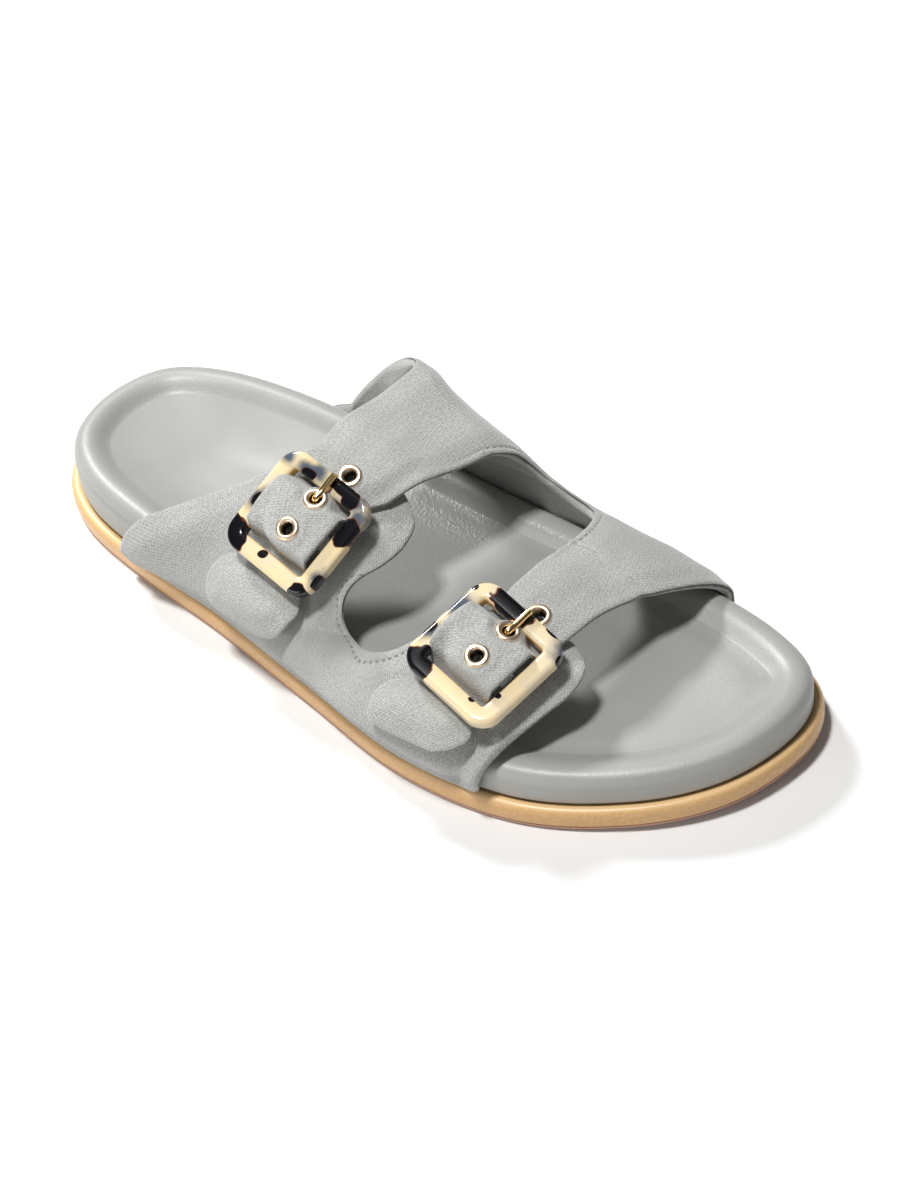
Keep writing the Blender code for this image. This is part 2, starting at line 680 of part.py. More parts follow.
def make_prong(name, material, collection):
    """Round prong whose eye goes round the centre bar and whose tip rests on the frame."""
    title = "prong_" + name
    curve = bpy.data.curves.new(title, "CURVE")
    curve.dimensions = "3D"
    curve.bevel_depth = 0.5 * PRONG * MM
    curve.bevel_resolution = 2
    curve.use_fill_caps = True
    way = prong_way(name)
    places = catmull(way, np.linspace(0, len(way) - 1, 2 * len(way)))
    spline = curve.splines.new("POLY")
    spline.points.add(len(places) - 1)
    for point, (across, height) in zip(spline.points, places):
        point.co = (0, across * MM, height * MM, 1)
    route = bpy.data.objects.new(title, curve)
    collection.objects.link(route)
    bpy.context.view_layer.update()
    item = curve_to_mesh(route, collection)
    hole = 0.5 * CENTRE_BAR + GAP
    combine(item, add_bar("eye_" + name, hole + EYE_WALL, PRONG + 0.2, -CENTRE_BAR_DROP, 14), "UNION")
    combine(item, add_bar("eye_hole_" + name, hole, PRONG + 2.0, -CENTRE_BAR_DROP, 14), "DIFFERENCE")
    item.matrix_world = buckle_matrix(name)
    finish(item, material, title)


def turned(name, profile, placed, collection):
    """Solid of a closed profile of (radius, height) turned round Z, and put in its place."""
    mesh = bpy.data.meshes.new(name)
    count = len(profile)
    mesh.from_pydata([(radius * MM, 0, height * MM) for radius, height in profile],
                     [(k, (k + 1) % count) for k in range(count)], [])
    item = bpy.data.objects.new(name, mesh)
    collection.objects.link(item)
    screw = item.modifiers.new("turn", "SCREW")
    screw.steps = EYELET_STEPS
    screw.render_steps = EYELET_STEPS
    screw.use_merge_vertices = True
    screw.merge_threshold = 0.00001
    bpy.context.view_layer.update()
    bake_modifiers(item)
    item.matrix_world = placed
    return item


def make_eyelet(name, place, strap, material, collection):
    """Flanged eyelet pressed into the strap, and the seat and hole that it has there."""
    placed = eyelet_matrix(name, place)
    barrel = EYELET_HOLE + EYELET_WALL
    low = -EYELET_SEAT + GAP
    top = low + EYELET_FLANGE
    end = GAP - FABRIC
    ring = [(EYELET_HOLE + 0.25, top - 0.15), (EYELET_HOLE + 0.9, top), (EYELET_OUTER - 0.5, top),
            (EYELET_OUTER, top - 0.4), (EYELET_OUTER, low), (barrel, low), (barrel, end), (EYELET_HOLE, end),
            (EYELET_HOLE, top - 0.4)]
    item = turned("eyelet_" + name + "_" + place, ring, placed, collection)
    finish(item, material, item.name)
    wide = EYELET_OUTER + GAP
    hole = barrel + GAP
    high = CUTTER_EXTRA
    deep = -FABRIC - CUTTER_EXTRA
    seat = [(0.0, high), (wide, high), (wide, -EYELET_SEAT), (hole, -EYELET_SEAT), (hole, deep), (0.0, deep)]
    cutter = turned("seat_" + name + "_" + place, seat, placed, collection)
    combine(strap, cutter, "DIFFERENCE")


def main():
    """Builds the whole shoe."""
    clear_scene()
    shoe = make_collection(NAME)
    fabric = make_material("fabric")
    leather = make_material("leather")
    sole = make_material("outsole")
    acetate = make_material("acetate")
    gold = make_material("gold")
    make_outsole(sole, shoe)
    make_footbed(leather, shoe)
    straps = make_panel("upper_medial", MEDIAL_ROWS, True, fabric, shoe)
    make_panel("upper_lateral", LATERAL_ROWS, False, fabric, shoe)
    for name in BUCKLES:
        make_frame(name, acetate, shoe)
        make_prong(name, gold, shoe)
        for side in (-1, 1):
            make_bar_loop(name, side, fabric, shoe)
        for place in EYELET_PLACES:
            make_eyelet(name, place, straps, gold, shoe)
    finish(straps, fabric, "upper_medial")


main()
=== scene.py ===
import bmesh
import bpy
import numpy as np
from mathutils import Matrix, Vector


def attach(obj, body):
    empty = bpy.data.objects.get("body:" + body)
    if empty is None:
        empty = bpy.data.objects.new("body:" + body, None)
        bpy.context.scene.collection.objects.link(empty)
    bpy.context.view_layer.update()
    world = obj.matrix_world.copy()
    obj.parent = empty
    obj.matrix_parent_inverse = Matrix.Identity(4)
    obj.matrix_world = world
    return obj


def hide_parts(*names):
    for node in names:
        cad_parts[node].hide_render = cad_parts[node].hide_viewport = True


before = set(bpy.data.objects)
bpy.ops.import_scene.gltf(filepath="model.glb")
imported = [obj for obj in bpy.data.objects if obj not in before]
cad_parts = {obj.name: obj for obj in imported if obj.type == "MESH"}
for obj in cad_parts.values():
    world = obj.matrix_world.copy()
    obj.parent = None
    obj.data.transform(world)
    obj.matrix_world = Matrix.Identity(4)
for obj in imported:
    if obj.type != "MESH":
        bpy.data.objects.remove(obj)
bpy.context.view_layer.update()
print("frame loaded")

mm = 0.001

# The photograph's camera, with a longer lens and a small shift so that the one shoe fills the frame
camera = {
    "target": (-0.00174, 0.05563, 0.0),
    "azimuth": 44.0,
    "elevation": 44.27,
    "roll": -5.89,
    "distance": 0.95659,
    "focalPixels": 2078.39,
    "zoom": 1.48,
    "middlePixels": (400.0, 664.0),   # middle of the shoe in the photograph
    "photoPixels": (900, 1200),
    "sensor": 36,   # millimetres
}


def addItem(name, data):
    # a new object in the scene
    item = bpy.data.objects.new(name, data)
    bpy.context.scene.collection.objects.link(item)
    return item


def makeCamera():
    # direction from azimuth and elevation, then the image axes turned by the roll
    el, az, roll = (np.radians(camera[k]) for k in ("elevation", "azimuth", "roll"))
    away = Vector((np.sin(az) * np.cos(el), -np.cos(az) * np.cos(el), np.sin(el)))
    level = Vector((np.cos(az), np.sin(az), 0))
    up = away.cross(level)
    right = np.cos(roll) * level + np.sin(roll) * up
    top = np.cos(roll) * up - np.sin(roll) * level
    lens = bpy.data.cameras.new("camera")
    wide, high = camera["photoPixels"]
    lens.sensor_width = camera["sensor"]
    lens.lens = camera["focalPixels"] / high * camera["sensor"] * camera["zoom"]
    lens.shift_x = (camera["middlePixels"][0] - 0.5 * wide) / high * camera["zoom"]
    lens.shift_y = (0.5 * high - camera["middlePixels"][1]) / high * camera["zoom"]
    lens.clip_start = 0.01
    item = addItem("camera", lens)
    placed = Matrix((right, top, away)).transposed().to_4x4()
    placed.translation = Vector(camera["target"]) + away * camera["distance"]
    item.matrix_world = placed
    bpy.context.scene.camera = item


# Sizes of the sole and the arch, in millimetres from the heel
sole = {
    "length": 262.0, "gap": 0.3, "thick": 7.4, "ledge": 3.0, "springRise": 3.0, "springStart": 0.78,
    "rimHeel": 22.6, "rimToe": 18.4, "side": -0.8, "sides": 420,
}
outline = [  # (breadth to the inner side, breadth to the outer side) from heel to toe
    (0.0, 0.0), (21.7, -21.2), (34.5, -33.7), (41.4, -39.0), (44.6, -41.8), (46.3, -46.9),
    (49.2, -51.4), (51.3, -45.5), (48.1, -27.9), (38.8, -5.7), (20.4, 20.4),
]
arch = {
    "middle": 150.0, "height": 45.0, "heightStep": -15.0, "side": 28.6, "sideStep": -6.6,
    "least": 34.0, "leastStep": -6.0, "leastPlace": 0.7, "blend": 1.6, "outer": 1.68, "inner": 1.77,
    "innerStep": -0.30, "wallTop": 16.0, "wallShare": 0.2, "stepLength": 50.0,
}


def catmull(values, place, closed=False):
    # smooth cubic through the rows: each piece is set by the two rows before and the two after it
    values = np.asarray(values, float)
    count = len(values)
    place = np.asarray(place, float)
    base = np.floor(place).astype(int)
    if not closed:
        base = np.clip(base, 0, count - 2)
    part = (place - base).reshape(place.shape + (1,) * (values.ndim - 1))
    picks = [base + step for step in (-1, 0, 1, 2)]
    picks = [i % count if closed else np.clip(i, 0, count - 1) for i in picks]
    before, start, end, after = (values[i] for i in picks)
    return 0.5 * (2 * start + (end - before) * part
                  + (2 * before - 5 * start + 4 * end - after) * part ** 2
                  + (3 * start - before - 3 * end + after) * part ** 3)


def smooth(low, high, value):
    # 0 at low, 1 at high, level at both ends
    share = np.clip((np.asarray(value, float) - low) / (high - low), 0, 1)
    return share * share * (3 - 2 * share)


def bell(value, width):
    # 1 at zero, falling as a bell of that width
    return np.exp(-(np.asarray(value, float) / width) ** 2)


def unit(vector):
    # the vector divided by its length
    return vector / np.linalg.norm(vector, axis=-1, keepdims=True)


def outlineBreadth(turn):
    # breadth round the outline: 0 at the heel, pi at the toe
    inner = [row[0] for row in outline]
    outer = [row[1] for row in outline[-2:0:-1]]
    return catmull(inner + outer, np.asarray(turn, float) / (2 * np.pi) * len(inner + outer), closed=True)


def outlinePoints(turn, inset):
    # outline at those turns, moved inwards square to its own direction
    half = 0.5 * sole["length"]
    step = 0.02
    ahead = np.stack([-half * np.cos(turn + step), outlineBreadth(turn + step)], -1)
    behind = np.stack([-half * np.cos(turn - step), outlineBreadth(turn - step)], -1)
    tangent = unit(ahead - behind)
    inwards = np.stack([tangent[..., 1], -tangent[..., 0]], -1)
    flat = np.stack([half * (1 - np.cos(turn)), outlineBreadth(turn)], -1)
    return flat + inwards * np.asarray(inset)[..., None]


def sideBreadth(along, side):
    # breadth of the sole's edge at a place along the shoe, on the inner (1) or outer (-1) side
    turn = np.arccos(np.clip(1 - 2 * np.asarray(along, float) / sole["length"], -1, 1))
    return outlineBreadth(np.where(np.asarray(side) > 0, turn, 2 * np.pi - turn))


def spring(along):
    # toe spring: flat, then a parabola
    start = sole["springStart"]
    share = np.clip((np.asarray(along) / sole["length"] - start) / (1 - start), 0, 1)
    return sole["springRise"] * share ** 2


def softLarger(first, second, blend):
    # the larger of two values, with a round turn where they cross
    return 0.5 * (first + second + np.sqrt((first - second) ** 2 + blend ** 2))


def archPoint(along, girth):
    # inner face of the upper: a short upright wall, then a quarter superellipse to the crown
    along, girth = np.broadcast_arrays(np.asarray(along, float), np.asarray(girth, float))
    steps = (along - arch["middle"]) / arch["stepLength"]
    crownZ = softLarger(arch["height"] + arch["heightStep"] * steps,
                        arch["least"] + arch["leastStep"] * (steps - arch["leastPlace"]), arch["blend"])
    crownY = arch["side"] + arch["sideStep"] * steps
    inner = girth >= 0
    foot = np.where(inner, sideBreadth(along, 1) - sole["ledge"] + sole["gap"],
                    sideBreadth(along, -1) + sole["ledge"] - sole["gap"])
    power = np.where(inner, arch["inner"] + arch["innerStep"] * steps, arch["outer"])
    rise = 1 - np.abs(girth)
    share = arch["wallShare"]
    angle = np.clip((rise - share) / (1 - share), 0, 1) * np.pi / 2
    low = sole["thick"] + sole["gap"]
    y = crownY + (foot - crownY) * np.cos(angle) ** (2 / power)
    z = np.where(rise < share, low + (arch["wallTop"] - low) * rise / share,
                 arch["wallTop"] + (crownZ - arch["wallTop"]) * np.sin(angle) ** (2 / power))
    return np.stack([along, y, z + spring(along)], -1)


def archNormal(along, girth):
    # outward direction: cross product of the two slopes of the arch
    step = 0.02
    lengthwise = archPoint(along + 0.5, girth) - archPoint(along - 0.5, girth)
    around = (archPoint(along, np.clip(girth + step, -0.999, 0.999))
              - archPoint(along, np.clip(girth - step, -0.999, 0.999)))
    return unit(np.cross(lengthwise, around))


def toWorld(points):
    # millimetres from the heel to metres from the middle
    return (np.asarray(points, float) - np.array([0.5 * sole["length"], sole["side"], 0.0])) * mm


def gridMesh(name, points, closedRows, closedColumns, material, uv=None, values=None, caps=False, drop=None):
    # a grid of points as quads, wrapped round where a direction is closed, with UVs and values per point
    rows, columns = points.shape[:2]
    r = np.arange(rows if closedRows else rows - 1)
    c = np.arange(columns if closedColumns else columns - 1)
    r, c = (a.ravel() for a in np.meshgrid(r, c, indexing="ij"))
    cornerRows = np.stack([r, r, r + 1, r + 1], 1)
    cornerColumns = np.stack([c, c + 1, c + 1, c], 1)
    if drop is not None:
        kept = ~drop.ravel()
        cornerRows, cornerColumns = cornerRows[kept], cornerColumns[kept]
    index = (cornerRows % rows) * columns + cornerColumns % columns
    faces = index.tolist()
    if caps:
        faces.append(list(range(columns))[::-1])
        faces.append(list(range((rows - 1) * columns, rows * columns)))
    mesh = bpy.data.meshes.new(name)
    mesh.from_pydata(toWorld(points.reshape(-1, 3)).tolist(), [], faces)
    if uv is not None:
        layer = mesh.uv_layers.new(name="cloth")
        spread = np.zeros((len(mesh.loops), 2), np.float32)
        spread[:4 * len(cornerRows)] = uv[cornerRows, cornerColumns].reshape(-1, 2)
        layer.data.foreach_set("uv", spread.ravel())
    for title, column in (values or {}).items():
        made = mesh.attributes.new(title, "FLOAT", "POINT")
        made.data.foreach_set("value", np.ascontiguousarray(column, np.float32).ravel())
    work = bmesh.new()
    work.from_mesh(mesh)
    bmesh.ops.recalc_face_normals(work, faces=work.faces)
    work.to_mesh(mesh)
    work.free()
    mesh.materials.append(material)
    mesh.shade_smooth()
    return addItem(name, mesh)


def placeOnShoe(item, *nodes):
    # the piece stands for those CAD nodes and moves with the shoe
    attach(item, "root")
    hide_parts(*nodes)


makeCamera()
print("camera ready")

# Buckles: where each frame sits on the arch, and the frame's own sizes
buckles = {
    "rear": {"along": 115.6, "girth": -0.430, "turn": -8.0},
    "front": {"along": 184.8, "girth": -0.400, "turn": -9.0},
}
buckleFrame = {
    "side": 34.8, "bar": 5.6, "thick": 4.0, "corner": 3.7, "lift": 11.1, "centreBar": 2.4, "drop": 0.6,
    "edge": 1.0, "dome": 0.16, "barInset": 2.0,
    "amber": 0.85, "amberInner": (1.9, 2.7), "amberTop": (2.3, 1.0),
}
strap = {
    "onWing": 4.5, "hump": 8.8, "humpTop": 7.0, "humpMargin": 0.1, "reach": 30.0, "ramp": 20.0,
    "play": 1.3, "gatherFull": 1.0, "gatherEnd": 5.0, "tailStart": -17.0, "tailEnd": -27.0, "tailLift": 2.0,
}


def buckleAxes(name):
    # centre of the frame and its axes: along the shoe, across to the inner side, outwards
    place = buckles[name]
    along, girth = place["along"], place["girth"]
    normal = archNormal(along, girth)
    across = archPoint(along, girth + 0.05) - archPoint(along, girth - 0.05)
    across = unit(across - normal * (across @ normal))
    forward = np.cross(across, normal)
    turn = np.radians(place["turn"])
    turnedForward = forward * np.cos(turn) + across * np.sin(turn)
    turnedAcross = across * np.cos(turn) - forward * np.sin(turn)
    return archPoint(along, girth) + normal * buckleFrame["lift"], turnedForward, turnedAcross, normal


def strapLift(foot, normal, name):
    # height of the strap over the arch: up over the wing, a hump inside the frame, and a tail that stands off
    centre, _, across, _ = buckleAxes(name)
    place = (foot + normal * buckleFrame["lift"] - centre) @ across
    window = 0.5 * buckleFrame["side"] - buckleFrame["bar"]
    onWing = strap["onWing"] * (1 - smooth(strap["reach"], strap["reach"] + strap["ramp"], place))
    tail = strap["tailLift"] * smooth(strap["tailStart"], strap["tailEnd"], place)
    hump = strap["hump"] * (1 - smooth(strap["humpTop"], window - strap["humpMargin"], np.abs(place)))
    return onWing + tail + hump


def gather(columns, name, outerSide):
    # draws both edges of a strap in to the window of its buckle
    centre, forward, across, _ = buckleAxes(name)
    half = 0.5 * buckleFrame["side"]
    window = half - buckleFrame["bar"]
    for first, side in ((0, outerSide), (2, -outerSide)):
        foot = archPoint(columns[:, first], columns[:, first + 1])
        lifted = foot + archNormal(columns[:, first], columns[:, first + 1]) * buckleFrame["lift"] - centre
        near = np.abs(lifted @ forward) < buckleFrame["side"]
        reach = np.abs(lifted @ across)
        weight = near * (1 - smooth(window + strap["gatherFull"], half + strap["gatherEnd"], reach))
        columns[:, first] += weight * (side * (window - strap["play"]) - lifted @ forward) / forward[0]
    return columns


eyelets = {
    "places": {"outer": (19.9, 0.8), "prong": (8.6, 1.5), "inner": (-3.2, 1.3)},   # (across, along) the frame
    "barrel": 2.25, "level": {"outer": 0.0, "prong": 0.65, "inner": 0.3}, "flatRadius": 3.9, "flatEnd": 7.0,
    # painted shade in the barrels: the heights and the radius inside which the metal is darkened
    "sides": 56, "barrelShadeHeight": (-0.1, -1.2), "barrelShadeRadius": 2.1, "holeMargin": 0.1,
}
pillow = {   # how far the strap swells over the heel-side bar, and its height and reach inside the frame
    "rear": 3.1, "front": 3.7, "toe": 1.2, "edgeHeight": 3.3, "edgeDrop": 9.5, "flat": 7.6, "reach": 12.3,
    "halfRound": 11.7, "liftEnd": 10.4, "heelRamp": (-0.5, -9.5), "toeRamp": (5.0, 9.5),
    "toeEnd": (8.0, 11.5), "length": 15, "depth": -12,
}


def strapPlace(name, reach, sideways):
    # point on the strap's outer face at a place in the frame, found by repeated small steps
    centre, forward, across, _ = buckleAxes(name)
    along, girth = buckles[name]["along"], buckles[name]["girth"]

    def lifted(along, girth):
        foot = archPoint(along, girth)
        normal = archNormal(along, girth)
        return foot + normal * (cloth["thick"] + strapLift(foot, normal, name))

    for _ in range(20):
        offset = lifted(along, girth) - centre
        slope = (lifted(along, girth + 0.01) - lifted(along, girth - 0.01)) @ across / 0.02
        along = along + 0.7 * (sideways - offset @ forward)
        girth = girth + 0.5 * (reach - offset @ across) / slope
    return lifted(along, girth)


def eyeletAxes(name, place):
    # place of an eyelet on the strap's outer face, two ways along the cloth and the way out of it
    reach, sideways = eyelets["places"][place]
    across = strapPlace(name, reach + 1, sideways) - strapPlace(name, reach - 1, sideways)
    along = strapPlace(name, reach, sideways + 1) - strapPlace(name, reach, sideways - 1)
    level = eyelets["level"][place]
    normal = unit(unit(np.cross(along, across)) * (1 - level) + buckleAxes(name)[3] * level)
    along = unit(along - normal * (along @ normal))
    return strapPlace(name, reach, sideways), along, np.cross(normal, along), normal


# Fabric panels: rows of (outer edge along, girth, cut-out edge along, girth, lift of the outer edge)
medialRows = [
    (98.5, -0.742, 119, -0.724, 0), (94.8, -0.708, 125, -0.690, 0), (94, -0.645, 127.8, -0.628, 0),
    (98, -0.575, 129, -0.565, 0), (105, -0.510, 128.2, -0.500, 0), (105.6, -0.440, 128.2, -0.435, 0),
    (105.4, -0.370, 128.4, -0.365, 0), (104, -0.300, 131, -0.295, 0), (104, -0.220, 134, -0.220, 0),
    (106, -0.110, 138.5, -0.120, 0), (107, 0.020, 142.5, 0.000, 0.5), (103, 0.190, 144.6, 0.130, 1.5),
    (95, 0.370, 145.4, 0.260, 2.5), (84, 0.560, 146.2, 0.350, 3.0), (72, 0.740, 148.5, 0.415, 3.0),
    (60, 0.900, 151.5, 0.450, 2.0), (60, 0.995, 154.5, 0.462, 0.5), (84, 1.000, 157.0, 0.468, 0),
    (112, 1.000, 159.0, 0.470, 0), (140, 1.000, 161.0, 0.468, 0), (168, 1.000, 163.0, 0.460, 0),
    (194, 1.000, 165.5, 0.445, 0), (213, 0.995, 168.5, 0.415, 0), (215, 0.900, 171.5, 0.365, 0),
    (213, 0.650, 174.2, 0.280, 0), (210.5, 0.400, 176.2, 0.170, 0), (207.5, 0.180, 177.2, 0.050, 0),
    (204.5, 0.000, 177.0, -0.070, 0), (202, -0.120, 176.2, -0.170, 0), (200, -0.220, 175.4, -0.250, 0),
    (198.4, -0.310, 175.6, -0.320, 0), (198.3, -0.380, 175.7, -0.385, 0),
    (198.3, -0.450, 175.6, -0.455, 0),
    (198, -0.520, 170, -0.520, 0), (196.2, -0.590, 164.8, -0.590, 0), (194.4, -0.645, 163.6, -0.650, 0),
    (191.4, -0.690, 164.6, -0.698, 0), (187, -0.718, 167, -0.722, 0),
]
lateralRows = [
    (112, -0.235, 130, -0.225, 0), (106, -0.270, 139.5, -0.255, 0), (100, -0.300, 142, -0.310, 0),
    (94, -0.380, 140.5, -0.370, 0), (87, -0.455, 137, -0.430, 0.5), (79, -0.520, 136, -0.470, 1.0),
    (70, -0.590, 136.8, -0.505, 2.0), (59, -0.680, 138.8, -0.530, 3.5), (53.5, -0.790, 141, -0.545, 4.5),
    (52.5, -0.930, 143, -0.553, 3.0), (58, -1.000, 145, -0.557, 1.0), (84, -1.000, 147, -0.559, 0),
    (110, -1.000, 148.8, -0.559, 0), (136, -1.000, 150.5, -0.557, 0), (162, -1.000, 152.5, -0.551, 0),
    (184, -1.000, 154.8, -0.538, 0), (197, -0.990, 157, -0.520, 0), (199, -0.880, 159.2, -0.495, 0),
    (201, -0.730, 161.5, -0.460, 0), (203.5, -0.580, 164, -0.415, 0), (206.5, -0.450, 166.5, -0.360, 0),
    (209, -0.350, 169.5, -0.295, 0), (207, -0.270, 173.5, -0.240, 0), (200, -0.235, 181, -0.220, 0),
]
cloth = {
    "thick": 4.2, "hem": 2.2, "capRows": 0.33, "stepsPerRow": 13, "middleColumns": 40,
    "chart": 75.0,   # millimetres of the arch for one unit of girth
    "notchTurn": -3.0, "notchWidth": 9.0, "notchDepth": 1.3,
    "crown": 1.1, "crownWidth": 8.0,   # how far the padding thins towards an edge
    "grooveInset": 2.0, "grooveWidth": 0.6, "grooveDepth": 0.30, "dimple": 0.35, "dimpleWidth": 5.0,
    "sewnInner": (-0.20, 0.0), "sewnOuter": (-0.30, -0.45),   # girth where each line of stitches begins
}


def boundaryDistance(points, border):
    # distance of each point from the nearest piece of a closed border line
    start = border
    way = np.roll(border, -1, axis=0) - start
    long2 = np.maximum((way ** 2).sum(-1), 1e-9)
    flat = points.reshape(-1, 3)
    found = []
    for part in np.array_split(flat, max(1, len(flat) // 2000)):
        away = part[:, None, :] - start[None]
        share = np.clip((away * way).sum(-1) / long2, 0, 1)
        found.append(np.linalg.norm(away - share[..., None] * way, axis=-1).min(1))
    return np.concatenate(found).reshape(points.shape[:-1])


def bandSurface(rows, overWings):
    # a panel's two faces on a grid: rows along the band, columns across it, with rolled edges
    last = len(rows) - 1
    cap = cloth["capRows"] * (1 - np.cos(np.linspace(0, np.pi / 2, 9)[:-1]))
    steps = np.linspace(cloth["capRows"], last - cloth["capRows"], last * cloth["stepsPerRow"])
    steps = np.concatenate([cap, steps, last - cap[::-1]])
    columns = catmull(rows, steps)
    if overWings:
        columns = gather(gather(columns, "rear", -1), "front", 1)
    cut = archPoint(columns[:, 2], columns[:, 3])
    rim = archPoint(columns[:, 0], columns[:, 1])
    width = np.linalg.norm(rim - cut, axis=-1)[:, None]
    radius = 0.5 * cloth["thick"]
    turns = np.radians([0, 4, 8, 12, 17, 23, 31, 41, 53, 66, 79])
    near = np.r_[radius * (1 - np.cos(turns)), 2.1, 2.4, 2.7, 3.0, 3.3, 3.7, 4.3][None] / width
    inside = (np.arange(1, cloth["middleColumns"]) / cloth["middleColumns"])[None]
    inside = near[:, -1:] + (1 - 2 * near[:, -1:]) * inside
    share = np.concatenate([near, inside, 1 - near[:, ::-1]], axis=1)
    along = columns[:, 2:3] + (columns[:, 0:1] - columns[:, 2:3]) * share
    girth = np.clip(columns[:, 3:4] + (columns[:, 1:2] - columns[:, 3:4]) * share, -1, 1)
    foot = archPoint(along, girth)
    normal = archNormal(along, girth)
    hem = smooth(1.0, 1 - arch["wallShare"], np.abs(girth))
    thick = cloth["hem"] + (cloth["thick"] - cloth["hem"]) * hem
    middle = 0.5 * thick + columns[:, 4:5] * smooth(0.6, 1.0, share)
    if overWings:
        rear = steps[:, None] < 0.5 * len(rows)
        middle = middle + np.where(rear, strapLift(foot, normal, "rear"), strapLift(foot, normal, "front"))
    spine = foot + normal * middle[..., None]
    border = np.concatenate([spine[:, 0], spine[-1, 1:-1], spine[::-1, -1], spine[0, -2:0:-1]])
    edge = boundaryDistance(spine, border)
    roll = np.sqrt(np.clip(1 - (1 - np.clip(edge / radius, 0, 1)) ** 2, 0, 1))
    run, cutRun = (np.cumsum(np.r_[0, np.linalg.norm(np.diff(spine[:, column], axis=0), axis=-1)])
                   for column in (spine.shape[1] // 2, 12))
    return {
        "along": along, "girth": girth, "spine": spine, "normal": normal, "thick": thick, "roll": roll,
        "edge": edge, "share": share, "width": width, "run": run, "cutRun": cutRun,
    }


def lapOver(points, height, name):
    # inside the frame the strap's heel side is raised and swells out over the bar: a half round along the bar
    centre, forward, across, normal = buckleAxes(name)
    offset = points - centre
    x, y = offset @ forward, offset @ across
    reach = np.abs(y)
    inside = (reach < pillow["reach"]) & (np.abs(x) < pillow["length"]) & (height > pillow["depth"])
    side = smooth(*pillow["heelRamp"], x) * inside
    wanted = pillow["edgeHeight"] - pillow["edgeDrop"] * smooth(pillow["flat"], pillow["reach"], reach)
    lift = np.clip(wanted - height, 0, None) * side * (1 - smooth(pillow["liftEnd"], pillow["reach"], reach))
    swell = pillow[name] * side * np.sqrt(np.clip(1 - (y / pillow["halfRound"]) ** 2, 0, 1))
    toeSide = smooth(*pillow["toeRamp"], x) * inside * (1 - smooth(*pillow["toeEnd"], reach))
    swell = swell - pillow["toe"] * toeSide
    return points + normal * lift[..., None] - forward * swell[..., None]


def bothFaces(outer, inner):
    # columns of the outer face, then those of the inner face back to the start
    return np.concatenate([outer, inner[:, -2:0:-1]], axis=1)


def makePanel(name, rows, overWings, folds, material):
    # both faces of the band, pushed along the normal by folds, and closed round the edges
    band = bandSurface(rows, overWings)
    half = 0.5 * band["thick"] * band["roll"]
    hem = smooth(0.9, 0.99, np.abs(band["girth"]))
    sewn = smooth(*cloth["sewnInner" if overWings else "sewnOuter"], band["girth"])
    relief = foldRelief(band["along"], band["girth"] * cloth["chart"], folds)
    across = band["share"] * band["width"]
    ways = []
    for first, tenth in ((0, 12), (-1, -13)):
        ways.append(unit(band["spine"][:, tenth:tenth + 1] - band["spine"][:, first:first + 1 or None]))
    column = np.arange(band["share"].shape[1])
    towards = np.where((column < len(column) // 2)[None, :, None], ways[0], ways[1])
    faces = []
    for side in (1, -1):
        turn = side * np.degrees(np.arcsin(np.clip(band["roll"], 0, 1)))
        notch = cloth["notchDepth"] * bell(turn - cloth["notchTurn"], cloth["notchWidth"])
        notch = notch * (band["edge"] < 1.0)
        lift = side * half + relief * band["roll"]
        if side > 0:
            upper = 1 - hem
            thinned = (1 - smooth(1.0, cloth["crownWidth"], band["edge"])) * band["roll"] * upper
            groove = bell(across - cloth["grooveInset"], cloth["grooveWidth"]) * upper * sewn
            lift = lift - cloth["crown"] * thinned - cloth["grooveDepth"] * groove
        points = band["spine"] + band["normal"] * lift[..., None] + towards * notch[..., None]
        if overWings:
            for buckle in buckles:
                centre, _, _, normal = buckleAxes(buckle)
                points = lapOver(points, (band["spine"] - centre) @ normal, buckle)
        faces.append(points)
    loop = bothFaces(*faces)
    acrossLoop = np.concatenate([bothFaces(across, 2 * across[:, -1:] - across), 2 * across[:, -1:]], axis=1)
    unsewn = across + 20 * (1 - sewn)
    run, cutRun = (np.broadcast_to(band[key][:, None], acrossLoop.shape) for key in ("run", "cutRun"))
    values = {
        "edge": bothFaces(band["edge"], band["edge"]),
        "cut": bothFaces(unsewn, unsewn),
        "run": cutRun[:, :-1],
        # share of the notch depth, kept to paint shade into the groove
        "notchShade": bothFaces(0 * notch, notch) / cloth["notchDepth"],
    }
    drop = None
    if overWings:
        loop, drop = cutHoles(dimples(loop))
    uv = np.stack([run, acrossLoop], -1) * mm
    return gridMesh(name, loop, False, True, material, uv, values, caps=True, drop=drop)


def eyeletLines():
    # origin and axis of every eyelet
    return [eyeletAxes(name, place)[::3] for name in buckles for place in eyelets["places"]]


def fromAxis(points, origin, axis):
    # height along the axis, and the offset square to it
    away = points - origin
    high = away @ axis
    return high, away - high[..., None] * axis


def dimples(loop):
    # the outer face is drawn level with each eyelet's flange, and pressed in a little round it
    outside = (np.arange(loop.shape[1]) <= loop.shape[1] // 2)[None]
    for origin, axis in eyeletLines():
        high, offset = fromAxis(loop, origin, axis)
        beside = np.linalg.norm(offset, axis=-1)
        level = 1 - smooth(eyelets["flatRadius"], eyelets["flatEnd"], beside)
        drop = (high * level + cloth["dimple"] * bell(beside, cloth["dimpleWidth"])) * (np.abs(high) < 7)
        loop = loop - axis * (drop * outside)[..., None]
    return loop


